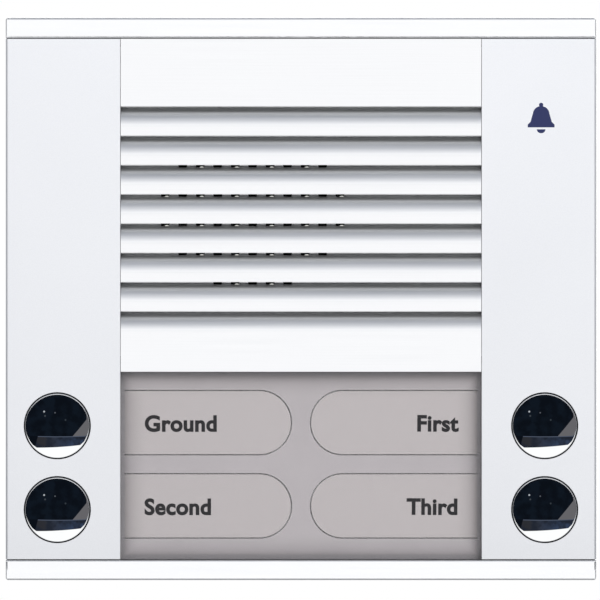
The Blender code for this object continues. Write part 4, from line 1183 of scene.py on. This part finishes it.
def make_trimmer(name):
    node = f"{name}_trimmer"
    x, _, z = at = axis(node)
    body = node_block(node, "_body", outs(node), 0.00030)
    well = rod("well", at, 0.0026, (0.0049, 0.0080), "out", 48)
    ticks = []
    for index in range(9):
        angle = math.radians(-135 + 270 * index / 8)
        place = (x + 0.0029 * math.sin(angle), outs(node)[0], z + 0.0029 * math.cos(angle))
        ticks.append(rod("tick", place, 0.00014, (-0.00012, 0.001), "in", 12))
    stands_for(cut(body, well, joined("ticks", ticks)), node)
    node = f"{name}_rotor"
    back, front = outs(node)
    profile = [(0.0, 0.0)] + arc((0.0021, -0.0002), 0.0002, 90, 0, 3)
    profile += [(0.0023, back - front), (0.0, back - front)]
    rotor = turned(node + "_dial", profile, (x, back, z), "in", 48)
    slot = block("slot", around(x, 0.0003), (back - 0.001, back + 0.0007), around(z, 0.0018))
    arrow = [(x - 0.0006, z + 0.0012), (x + 0.0006, z + 0.0012), (x, z + 0.0019)]
    arrow = section("arrow", [arrow], (back - 0.001, back + 0.00072))
    stands_for(cut(rotor, slot, arrow), node)


def make_light(number):
    node = f"backlight_led_{number}"
    place = middle(node)
    back, front = outs(node)
    lens = [(0.0, front - back)] + arc((0.0, front - back - 0.0012), (0.0014, 0.0012), 84, 0, 8)
    lens += [(0.0018, 0.0007), (0.0018, 0.0), (0.0, 0.0)]
    stands_for(turned(node + "_lens", lens, (place.x, back, place.z), "out", 32), node)


# Fasteners


def screw_head(radius, height, pan):
    """The head's profile from its top, and the height of its underside."""
    if pan:
        profile = [(0.0, 0.0)] + arc((0.0, -height), (radius, height), 80, 0, 10)
        return profile + arc((radius - 0.0001, -height - 0.0001), 0.0001, 0, -90, 2), -height - 0.0002
    return [(0.0, 0.0), (radius - 0.00012, 0.0), (radius, -0.00008), (radius, -0.0002)], -height


def cross_wings(radius):
    """The two wings of a cross drive, narrower at the bottom."""
    wings = []
    for angle in (0.3, 0.3 + math.pi / 2):
        wing = bmesh.new()
        bmesh.ops.create_cube(wing, size=1.0)
        bmesh.ops.scale(wing, vec=(radius * 1.15, 0.0005, 0.0016), verts=wing.verts)
        for vert in wing.verts:
            if vert.co.z < 0:
                vert.co.x *= 0.35
        wings.append(moved(made("wing", wing), Matrix.Rotation(angle, 4, "Z")))
    return wings


def screw(node, facing, head, drive, pan=False):
    """A thread-cutting screw. Its head is (radius, height); the drive is cross or hex."""
    low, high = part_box(node)
    x, _, z = axis(node)
    if facing == "in":
        start, length = (x, -high.y, z), high.y - low.y
    else:
        start, length = (x, -middle(node).y, high.z if facing == "up" else low.z), high.z - low.z
    shank, pitch = 0.0012, 0.00055
    crest, root = shank + 0.00005, shank - 0.00018
    profile, under = screw_head(*head, pan)
    profile += [(shank, under)]
    for turn in range(int((length + under - 0.0010) / pitch)):
        top = under - 0.0002 - pitch * turn
        profile += [(root, top - 0.00015), (crest, top - 0.00028), (root, top - 0.00041)]
    profile += [(root, -length + 0.0006), (0.0003, -length), (0.0, -length)]
    body = turned(node + "_threaded", profile, start, facing, 40)
    if drive == "cross":
        cutters = cross_wings(head[0])
    else:
        profile = [(0.0, 0.001), (0.00125, 0.001), (0.00125, -0.0011), (0.0, -0.0014)]
        cutters = [turned("hexagon", profile, (0, 0, 0), "up", 6)]
    stands_for(cut(body, *[moved(cutter, facing_turn(start, facing)) for cutter in cutters]), node)


def make_screws():
    for number in range(1, 5):
        facing = "up" if number < 3 else "down"
        screw(f"rail_screw_{number}", facing, (0.00245, 0.0014), "cross")
        screw(f"board_screw_{number}", "in", (0.0024, 0.0013), "cross", pan=True)
    for number in (1, 2):
        screw(f"lock_screw_{number}", "down", (0.0026, 0.0013), "hex")


# The chassis and the loudspeaker


def chassis_hook(x):
    top, bottom = PIVOT_Z + 0.0024, TRAY_TOP + 0.0009
    root, outer, inner = CHASSIS_FRONT - 0.0003, 0.0024, 0.0014
    centre = (PIVOT_OUT, PIVOT_Z)
    outline = [(root, bottom), (root, top)] + arc(centre, outer, 90, 205, 20)
    outline += arc(centre, inner, 205, 0, 28) + [(PIVOT_OUT + inner, bottom)]
    return section("hook", [outline], around(x, 0.0050), plane="out_z")


def speaker_claw(angle):
    inner, outer, slot = 0.0236, 0.0253, 0.0137
    outline = [(inner, 0.0124), (0.0265, 0.0124), (0.0269, 0.0128), (0.0269, 0.0160)]
    outline += [(outer, 0.0160), (outer, slot), (inner, slot)]
    return moved(section("claw", [outline], (-0.0030, 0.0030), plane="x_out"), about_speaker(angle))


def make_chassis():
    node = "front_chassis"
    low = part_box(node)[0]
    outlines = [rounded((low.x, -low.x), (low.z, -low.z), 0.0012), circle(tuple(SPEAKER), 0.0225, 72)]
    adds = [chassis_hook(x) for x in (-0.0400, 0.0400)]
    cuts = []
    for number in range(1, 5):
        at = axis(f"call_button_{number}")
        adds.append(rod("guide_tube", at, 0.0050, (0.0165, 0.0205), "out", 48, 0.0003))
        cuts.append(rod("guide_bore", at, 0.00335, (0.010, 0.025), "out", 48))
        at = axis(f"board_screw_{number}")
        adds.append(rod("board_boss", at, 0.0030, (0.0121, 0.0165), "out", 32))
        cuts.append(rod("boss_bore", at, 0.0015, (0.0110, 0.0168), "out", 24))
        label = middle(f"name_label_{number}")
        side = 1 if label.x > 0 else -1
        window_x = sorted((side * 0.0090, side * 0.0390))
        outlines.append(rounded(window_x, around(label.z, 0.0060), 0.0012))
    plate = section("front_chassis_plate", outlines, (CHASSIS_BACK, CHASSIS_FRONT), 0.00025, 1)
    half = 0.0005
    for x in (-0.0520, 0.0240, 0.0420, 0.0600):
        adds.append(block("rib", around(x, half), (0.0141, 0.0158), (-0.0140, 0.0600), 0.0002, 1))
    for start, heights in ((-0.0660, (-0.0120, 0.0570)), (0.0200, (0.0110, 0.0340))):
        for z in heights:
            adds.append(block("rib", (start, 0.0660), (0.0143, 0.0158), around(z, half), 0.0002, 1))
    adds += [speaker_claw(math.radians(angle)) for angle in (90, 210, 330)]
    plate = add(plate, *adds)
    stands_for(cut(plate, *cuts), node)


def make_speaker():
    at = (SPEAKER[0], 0.0, SPEAKER[1])
    rim = CHASSIS_BACK - GAP
    basket = [
        (0.0248, rim), (0.0250, rim - 0.0002), (0.0250, rim - 0.0010), (0.0248, rim - 0.0012),
        (0.0222, rim - 0.0012), (0.0218, rim - 0.0016), (0.0124, 0.0088), (0.0120, 0.0083),
        (0.0120, 0.0075), (0.0050, 0.0075), (0.0050, 0.0083), (0.0110, 0.0083),
        (0.0112, 0.0090), (0.0208, rim - 0.0010), (0.0212, rim - 0.0006), (0.0212, rim),
    ]
    frame_shape = turned("speaker_basket_frame", basket, at, "out", 96, closed=True)
    window = arc((0.0, 0.0), 0.0198, -19, 19, 10) + arc((0.0, 0.0), 0.0136, 19, -19, 8)
    windows = []
    for index in range(6):
        turn = about_speaker(math.radians(60 * index + 30))
        windows.append(moved(section("window", [window], (0.0065, rim - 0.0014)), turn))
    holes = []
    for index in range(4):
        angle = math.radians(90 * index + 45)
        place = (SPEAKER[0] + 0.0235 * math.cos(angle), 0.0, SPEAKER[1] + 0.0235 * math.sin(angle))
        holes.append(rod("rim_hole", place, 0.0008, (0.010, 0.020), "out", 20))
    stands_for(cut(frame_shape, *windows, joined("rim_holes", holes)), "speaker_basket")
    magnet = [(0.0, 0.0072), (0.0106, 0.0072), (0.0110, 0.0068)]
    magnet += [(0.0110, 0.0050), (0.0106, 0.0047), (0.0, 0.0047)]
    stands_for(turned("speaker_magnet_ring", magnet, at, "out", 72), "speaker_magnet")
    yoke = [(0.0, 0.0046), (0.0094, 0.0046), (0.0098, 0.0042), (0.0098, 0.0039), (0.0095, 0.0036)]
    yoke += [(0.0030, 0.0036), (0.0028, 0.0038), (0.0, 0.0038)]
    dressed(turned("speaker_yoke", yoke, at, "out", 72), "zinc_steel", "speaker_magnet")
    make_cone(at)
    rings = [circle(tuple(SPEAKER), radius, 72) for radius in (0.0265, 0.0232)]
    stands_for(section("speaker_gasket_ring", rings, outs("speaker_gasket"), 0.0003), "speaker_gasket")
    make_tags()


def make_cone(at):
    """Dust cap, straight cone and a rolled surround with fine ridges."""
    cap, crown, start, edge, foot = 0.0056, 0.0128, 0.0070, 0.0175, 0.0104
    profile = [(0.0, crown)]
    for step in range(1, 6):
        radius = cap * step / 5
        profile.append((radius, crown - 0.0012 * (radius / cap) ** 2))
    profile += [(0.0060, 0.0112), (start, foot)]
    for step in range(1, 9):
        share = step / 8
        profile.append((start + 0.0105 * share, foot + 0.0040 * share ** 0.8))
    for step in range(1, 13):
        share = step / 12
        ridge = 0.0005 * math.sin(math.pi * 3 * share)
        profile.append((edge + 0.0030 * share, 0.0144 + ridge + 0.0003 * share))
    lower = [(radius, height - 0.0004) for radius, height in reversed(profile[8:])]
    profile += lower + [(start, 0.0098), (0.0, 0.0098)]
    stands_for(turned("speaker_cone_paper", profile, at, "out", 96), "speaker_cone")


def make_tags():
    """A strip of laminate on the basket's rim with two solder tags."""
    x, z = SPEAKER[0], SPEAKER[1] - 0.0185
    tag_z = (z - 0.0045, z + 0.0012)
    places = (x - 0.0028, x + 0.0028)
    tags = [block("tag", around(tag_x, 0.0011), (0.0117, 0.0120), tag_z, 0.0001, 1) for tag_x in places]
    dressed(joined("speaker_tags", tags), "brass", "speaker_basket")
    base_z = (z - 0.0030, z + 0.0015)
    base = block("speaker_tag_strip", around(x, 0.0050), (0.0121, 0.0131), base_z, 0.0002, 1)
    dressed(base, "board", "speaker_basket")


def make_microphone():
    place = middle("microphone")
    low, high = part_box("microphone_boot")
    height, bore, outer, groove = high.z - low.z, 0.0023, 0.0034, 0.0032
    boot = arc((0.0031, height - 0.0003), 0.0003, 90, 0, 3)
    boot += [(outer, 0.0008), (groove, 0.0006), (outer, 0.0004), (outer, 0.0)]
    boot += [(0.0008, 0.0), (0.0008, 0.0008), (bore, 0.0008), (bore, height)]
    boot = turned("microphone_boot_cup", boot, (place.x, -place.y, low.z), "up", 48, closed=True)
    stands_for(boot, "microphone_boot")
    low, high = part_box("microphone")
    height = high.z - low.z
    capsule = [(0.0, height - 0.0002), (0.0016, height - 0.0002), (0.0017, height)]
    capsule += [(0.0019, height), (0.0020, height - 0.0001), (0.0020, 0.0), (0.0, 0.0)]
    stands_for(turned("microphone_capsule", capsule, (place.x, -place.y, low.z), "up", 40), "microphone")


def make_light_guide():
    outline = face_outline("light_guide", 0.0010)
    guide = section("light_guide_plate", [outline], outs("light_guide"), 0.0002)
    lights = [axis(node) for node in numbered("backlight_led")]
    dimples = [rod("dimple", at, 0.0030, (0.016, 0.0192), "out", 32, 0.0005) for at in lights]
    stands_for(cut(guide, *dimples), "light_guide")


# The base


def hinge_parts(middle_x):
    """Two lugs with a bar between them, for one of the chassis's hooks."""
    back, foot, radius = 0.0009, 0.0600, 0.0023
    outline = [(back, foot), (PIVOT_OUT + radius, foot)]
    outline += arc((PIVOT_OUT, PIVOT_Z), radius, 0, 180, 24) + [(back, TRAY_TOP - 0.0005)]
    shapes = []
    for inner in (-0.0080, 0.0060):
        span = (middle_x + inner, middle_x + inner + 0.0020)
        shapes.append(section("lug", [outline], span, plane="out_z"))
    bar = rod("bar", (0, 0, 0), 0.0011, (-0.0070, 0.0070), "up", 32)
    turn = Matrix.Translation(point(middle_x, PIVOT_OUT, PIVOT_Z)) @ Matrix.Rotation(math.pi / 2, 4, "Y")
    return shapes + [moved(bar, turn)]


def slot_outline(x, z, radius, length):
    straight = length / 2 - radius
    return arc((x, z + straight), radius, 0, 180, 14) + arc((x, z - straight), radius, 180, 360, 14)


def make_base_tray():
    low, high, inner = TRAY_BOTTOM, TRAY_TOP, TRAY_HALF - TRAY_WALL
    outline = rounded((-TRAY_HALF, TRAY_HALF), (low, high), 0.0020)
    tray = section("base_tray_shell", [outline], (0.0, TRAY_DEPTH), 0.0002, 1)
    outline = rounded((-inner, inner), (low + TRAY_WALL, high - TRAY_WALL), 0.0010)
    tray = cut(tray, section("hollow", [outline], (TRAY_FLOOR, TRAY_DEPTH + 0.004)))
    root, above = TRAY_FLOOR - 0.0005, TRAY_FLOOR + 0.002
    pads, cuts = [], []
    for x in (-0.0550, 0.0550):
        for z in (-0.0480, 0.0480):
            pad = slot_outline(x, z, 0.0048, 0.0140)
            pads.append(section("pad", [pad], (root, TRAY_FLOOR + 0.0008), 0.0002, 1))
            cuts.append(section("slot", [slot_outline(x, z, 0.0023, 0.0090)], (-0.002, above)))
            sink = slot_outline(x, z, 0.0036, 0.0103)
            cuts.append(section("sink", [sink], (TRAY_FLOOR + 0.0001, above)))
    ribs, half = [], 0.0005
    for x in (-0.0400, 0.0400):
        out = (root, TRAY_FLOOR + 0.0009)
        ribs.append(block("rib", around(x, half), out, (low + 0.001, high - 0.001), 0.0001, 1))
    for z in (-0.0250, 0.0080, 0.0400):
        out = (root, TRAY_FLOOR + 0.00088)
        ribs.append(block("rib", (-inner - half, inner + half), out, around(z, half), 0.0001, 1))
    entry = (0.0, 0.0, middle("cable_grommet").z)
    tray = add(tray, *ribs)
    tray = cut(tray, rod("clear", entry, 0.0102, (TRAY_FLOOR, TRAY_FLOOR + 0.003), "out", 48))
    tray = add(tray, *pads, *hinge_parts(-0.0400), *hinge_parts(0.0400))
    cuts.append(rod("entry", entry, 0.0080, (-0.002, above), "out", 64))
    cuts.append(gasket_ring("groove", GAP, (-0.001, 0.0011)))
    for x in (-LOCK_X, LOCK_X):
        place = (x, LOCK_OUT, low)
        cuts.append(rod("lock_hole", place, 0.0016, (-0.001, TRAY_WALL + 0.001), "up", 32))
    cuts += back_pockets()
    stands_for(cut(tray, *cuts), "base_tray")


def back_pockets():
    """Shallow recesses between the ribs of the tray's back, and an arrow that points up."""
    columns, rows = ((-0.0620, -0.0230), (0.0230, 0.0620)), ((-0.0360, -0.0020), (0.0020, 0.0360))
    sides = [(x, z) for x in columns for z in rows]
    middles = [((-0.0190, 0.0190), (-0.0600, -0.0280)), ((-0.0190, 0.0190), (0.0040, 0.0360))]
    pockets = [section("pocket", [rounded(x, z, 0.0015)], (-0.001, 0.0006)) for x, z in sides + middles]
    half, neck = 0.0010, 0.0480
    arrow = [(-half, 0.0420), (half, 0.0420), (half, neck), (3 * half, neck), (0.0, 0.0530)]
    arrow += [(-3 * half, neck), (-half, neck)]
    return pockets + [section("arrow", [arrow], (-0.001, 0.0004))]


def gasket_ring(name, spare, span, edge=0.0):
    outlines = []
    for margin in (0.0016 - spare, 0.0040 + spare):
        x = TRAY_HALF - margin
        outlines.append(rounded((-x, x), (TRAY_BOTTOM + margin, TRAY_TOP - margin), 0.0030 - margin / 2))
    return section(name, outlines, span, edge)


def make_base_seals():
    stands_for(gasket_ring("wall_gasket_ring", 0.0, outs("wall_gasket"), 0.0002), "wall_gasket")
    neck, flange, seat, bore = 0.0077, 0.0097, TRAY_FLOOR + GAP, 0.0050
    face, lip = seat + 0.0014, 0.0006
    profile = arc((flange - lip, face - lip), lip, 90, 0, 5) + [(flange, seat), (neck, seat), (neck, 0.0012)]
    profile += [(neck - 0.0003, 0.0010), (neck, 0.0008), (neck - 0.0002, 0.0002), (bore + 0.0004, 0.0002)]
    profile += [(bore, 0.0006), (bore + 0.0003, 0.0012), (bore, 0.0018), (bore + 0.0003, 0.0024)]
    profile += [(bore, 0.0030), (bore + 0.0004, face)]
    node = "cable_grommet"
    stands_for(turned(node + "_ring", profile, axis(node), "out", 64, closed=True), node)


# The studio


def soft_light(name, place, size, power):
    """A square lamp that looks at the panel."""
    light = bpy.data.lights.new(name, "AREA")
    light.size = size
    light.energy = power
    obj = linked(name, light)
    obj.location = place
    obj.rotation_euler = (-Vector(place)).to_track_quat("-Z", "Y").to_euler()
    return obj


class Sky(Nodes):
    """World nodes for a light that depends on direction, through a window plane in front.

    On that plane u runs to the right and v up, both as tangents of the angle from straight ahead.
    """

    def __init__(self):
        world = bpy.data.worlds.new("studio")
        bpy.context.scene.world = world
        super().__init__(world)
        self.background = self.nodes["Background"]
        self.direction = self.nodes.new("ShaderNodeTexCoord").outputs["Generated"]
        self.across, y, self.height = self.axes(self.direction)
        self.ahead = self.math("MULTIPLY", y, -1.0)
        distance = self.math("MAXIMUM", self.ahead, 0.001)
        self.u = self.math("DIVIDE", self.across, distance)
        self.v = self.math("DIVIDE", self.height, distance)

    def step(self, value, edge, soft):
        """0 below an edge and 1 above it, with a soft change between."""
        low, high = around(edge, soft / 2)
        inputs = {"From Min": low, "From Max": high, "Value": value}
        return self.node("MapRange", inputs, interpolation_type="SMOOTHSTEP").outputs["Result"]

    def above(self, slope, rise, soft=0.004):
        """1 above the line v = slope * u + rise."""
        return self.step(self.math("SUBTRACT", self.v, self.math("MULTIPLY", self.u, slope)), rise, soft)

    def mix(self, share, below, above):
        sides = [(*side, 1.0) if isinstance(side, tuple) else side for side in (below, above)]
        inputs = {"Factor": share, "A": sides[0], "B": sides[1]}
        return self.node("Mix", inputs, data_type="RGBA").outputs["Result"]

    def by_height(self, stops):
        """Colours at elevations in degrees."""
        placed = [(0.5 + 0.5 * math.sin(math.radians(degrees)), colour) for degrees, colour in stops]
        return self.ramp(placed, self.math("MULTIPLY_ADD", self.height, 0.5, 0.5))

    def spot(self, colour, under, u, v, radius):
        """A soft round lamp over another colour."""
        across = self.math("SUBTRACT", self.u, u)
        up = self.math("SUBTRACT", self.v, v)
        square = self.math("ADD", self.math("MULTIPLY", across, across), self.math("MULTIPLY", up, up))
        return self.mix(self.step(square, radius * radius, 1.6 * radius * radius), colour, under)


def mirrored_room(sky):
    """What polished metal mirrors: a dark room, a white table, and a few things between them."""
    navy, black, white = (0.006, 0.010, 0.017), (0.004, 0.006, 0.010), (1.15, 1.15, 1.14)
    noise = sky.node("TexNoise", {"Scale": 9.0, "Vector": sky.direction}).outputs["Fac"]
    patches = sky.step(noise, 0.5, 0.3)
    room = sky.mix(patches, black, navy)
    room = sky.spot((0.55, 0.58, 0.62), room, -0.195, 0.186, 0.012)
    room = sky.spot((0.06, 0.07, 0.08), room, -0.180, 0.126, 0.012)
    room = sky.spot((0.11, 0.12, 0.14), room, -0.045, 0.168, 0.010)
    room = sky.spot((0.04, 0.05, 0.06), room, 0.095, 0.070, 0.012)
    card = sky.math("SUBTRACT", 1.0, sky.above(1.14, -0.371))
    room = sky.mix(card, room, (0.150, 0.146, 0.155))
    shelf_end = sky.step(sky.math("SUBTRACT", sky.u, sky.math("MULTIPLY", sky.v, 0.32)), -0.233, 0.01)
    shelf = sky.mix(sky.step(sky.u, 0.0, 0.5), (0.030, 0.031, 0.037), (0.036, 0.056, 0.105))
    shelf = sky.mix(patches, shelf, (0.018, 0.023, 0.036))
    shelf = sky.mix(sky.above(0.0, -0.161), shelf, (0.085, 0.105, 0.150))
    shelf = sky.mix(shelf_end, black, shelf)
    room = sky.mix(sky.above(0.0, -0.150), shelf, room)
    front = sky.mix(sky.above(0.0615, -0.300, 0.006), white, room)
    front = sky.mix(sky.above(-0.10, 0.66, 0.05), front, (1.1, 1.1, 1.12))
    around_it = sky.by_height([
        (-90, white), (-25, (0.8, 0.8, 0.8)), (-14, (0.03, 0.03, 0.035)),
        (24, (0.02, 0.02, 0.025)), (55, (0.45, 0.46, 0.48)), (90, (0.30, 0.31, 0.33)),
    ])
    return sky.mix(sky.step(sky.ahead, 0.45, 0.5), around_it, front)


def make_world():
    """A white light tent, open to the dark room where polished metal mirrors it."""
    sky = Sky()
    tent = sky.by_height([
        (-90, (0.12, 0.12, 0.13)), (-60, (0.26, 0.27, 0.28)), (-35, (0.62, 0.63, 0.64)),
        (-15, (1.18, 1.18, 1.19)), (8, (1.22, 1.22, 1.22)), (22, (0.88, 0.89, 0.92)),
        (40, (0.48, 0.50, 0.54)), (65, (0.20, 0.22, 0.26)), (90, (0.16, 0.18, 0.21)),
    ])
    behind = sky.by_height([
        (-90, (0.30, 0.31, 0.33)), (-30, (0.75, 0.75, 0.76)), (20, (0.70, 0.70, 0.71)),
        (60, (0.30, 0.31, 0.34)), (90, (0.18, 0.20, 0.23)),
    ])
    tent = sky.mix(sky.step(sky.ahead, -0.1, 0.5), behind, tent)
    tent = sky.mix(sky.step(sky.math("ABSOLUTE", sky.across), 0.78, 0.30), tent, (0.22, 0.23, 0.25))
    path = sky.nodes.new("ShaderNodeLightPath")
    light = sky.mix(path.outputs["Is Singular Ray"], tent, mirrored_room(sky))
    light = sky.mix(path.outputs["Is Camera Ray"], light, (1.0, 1.0, 1.0))
    sky.links.new(light, sky.background.inputs["Color"])
    sky.background.inputs["Strength"].default_value = 1.0


def make_studio():
    floor_shape = bmesh.new()
    bmesh.ops.create_circle(floor_shape, cap_ends=True, radius=0.58, segments=128)
    bmesh.ops.translate(floor_shape, vec=(0.0, 0.0, -0.11), verts=floor_shape.verts)
    floor = made("studio_floor", floor_shape)
    if floor.data.polygons[0].normal.z < 0:
        floor.data.flip_normals()
    paint = Finish("studio_floor", (0.90, 0.90, 0.90), 0.7).one_sided()
    paint.clouded(0.01, 0.05, 3)
    floor.data.materials.append(paint.material)
    floor.visible_glossy = False
    floor.visible_diffuse = False
    floor.visible_shadow = False
    make_world()
    soft_light("key", (0.40, -1.00, 0.45), 0.8, 7.0).visible_glossy = False
    soft_light("rear", (0.3, 1.5, 0.5), 1.2, 12.0)


def make_camera():
    """Square on to the front, with the panel a hair right of and above the middle of the view."""
    distance, view_width, offset = 4.0, 0.1524, -0.00025
    camera = bpy.data.cameras.new("camera")
    camera.sensor_width = 36.0
    camera.lens = camera.sensor_width * (distance - FRONT) / view_width
    camera.clip_start = 0.05
    obj = linked("camera", camera)
    obj.location = (offset, -distance, offset)
    obj.rotation_euler = (math.pi / 2, 0.0, 0.0)
    bpy.context.scene.camera = obj


def make_panel():
    make_base_tray()
    make_base_seals()
    make_column("left_column", -1, ("call_button_1", "call_button_3"))
    make_column("right_column", 1, ("call_button_2", "call_button_4"))
    make_grille()
    make_rail("top_rail", 1)
    make_rail("bottom_rail", -1)
    make_bell_mark()
    make_name_field()
    make_light_guide()
    make_chassis()
    make_speaker()
    make_microphone()
    make_main_board()
    make_chip()
    make_capacitor()
    make_terminal_block()
    make_screws()
    for number in range(1, 5):
        make_button_set(number)
        make_light(number)
    for name in ("volume", "microphone_level"):
        make_trimmer(name)


make_panel()
make_studio()
make_camera()
bpy.context.scene.view_settings.view_transform = "Standard"
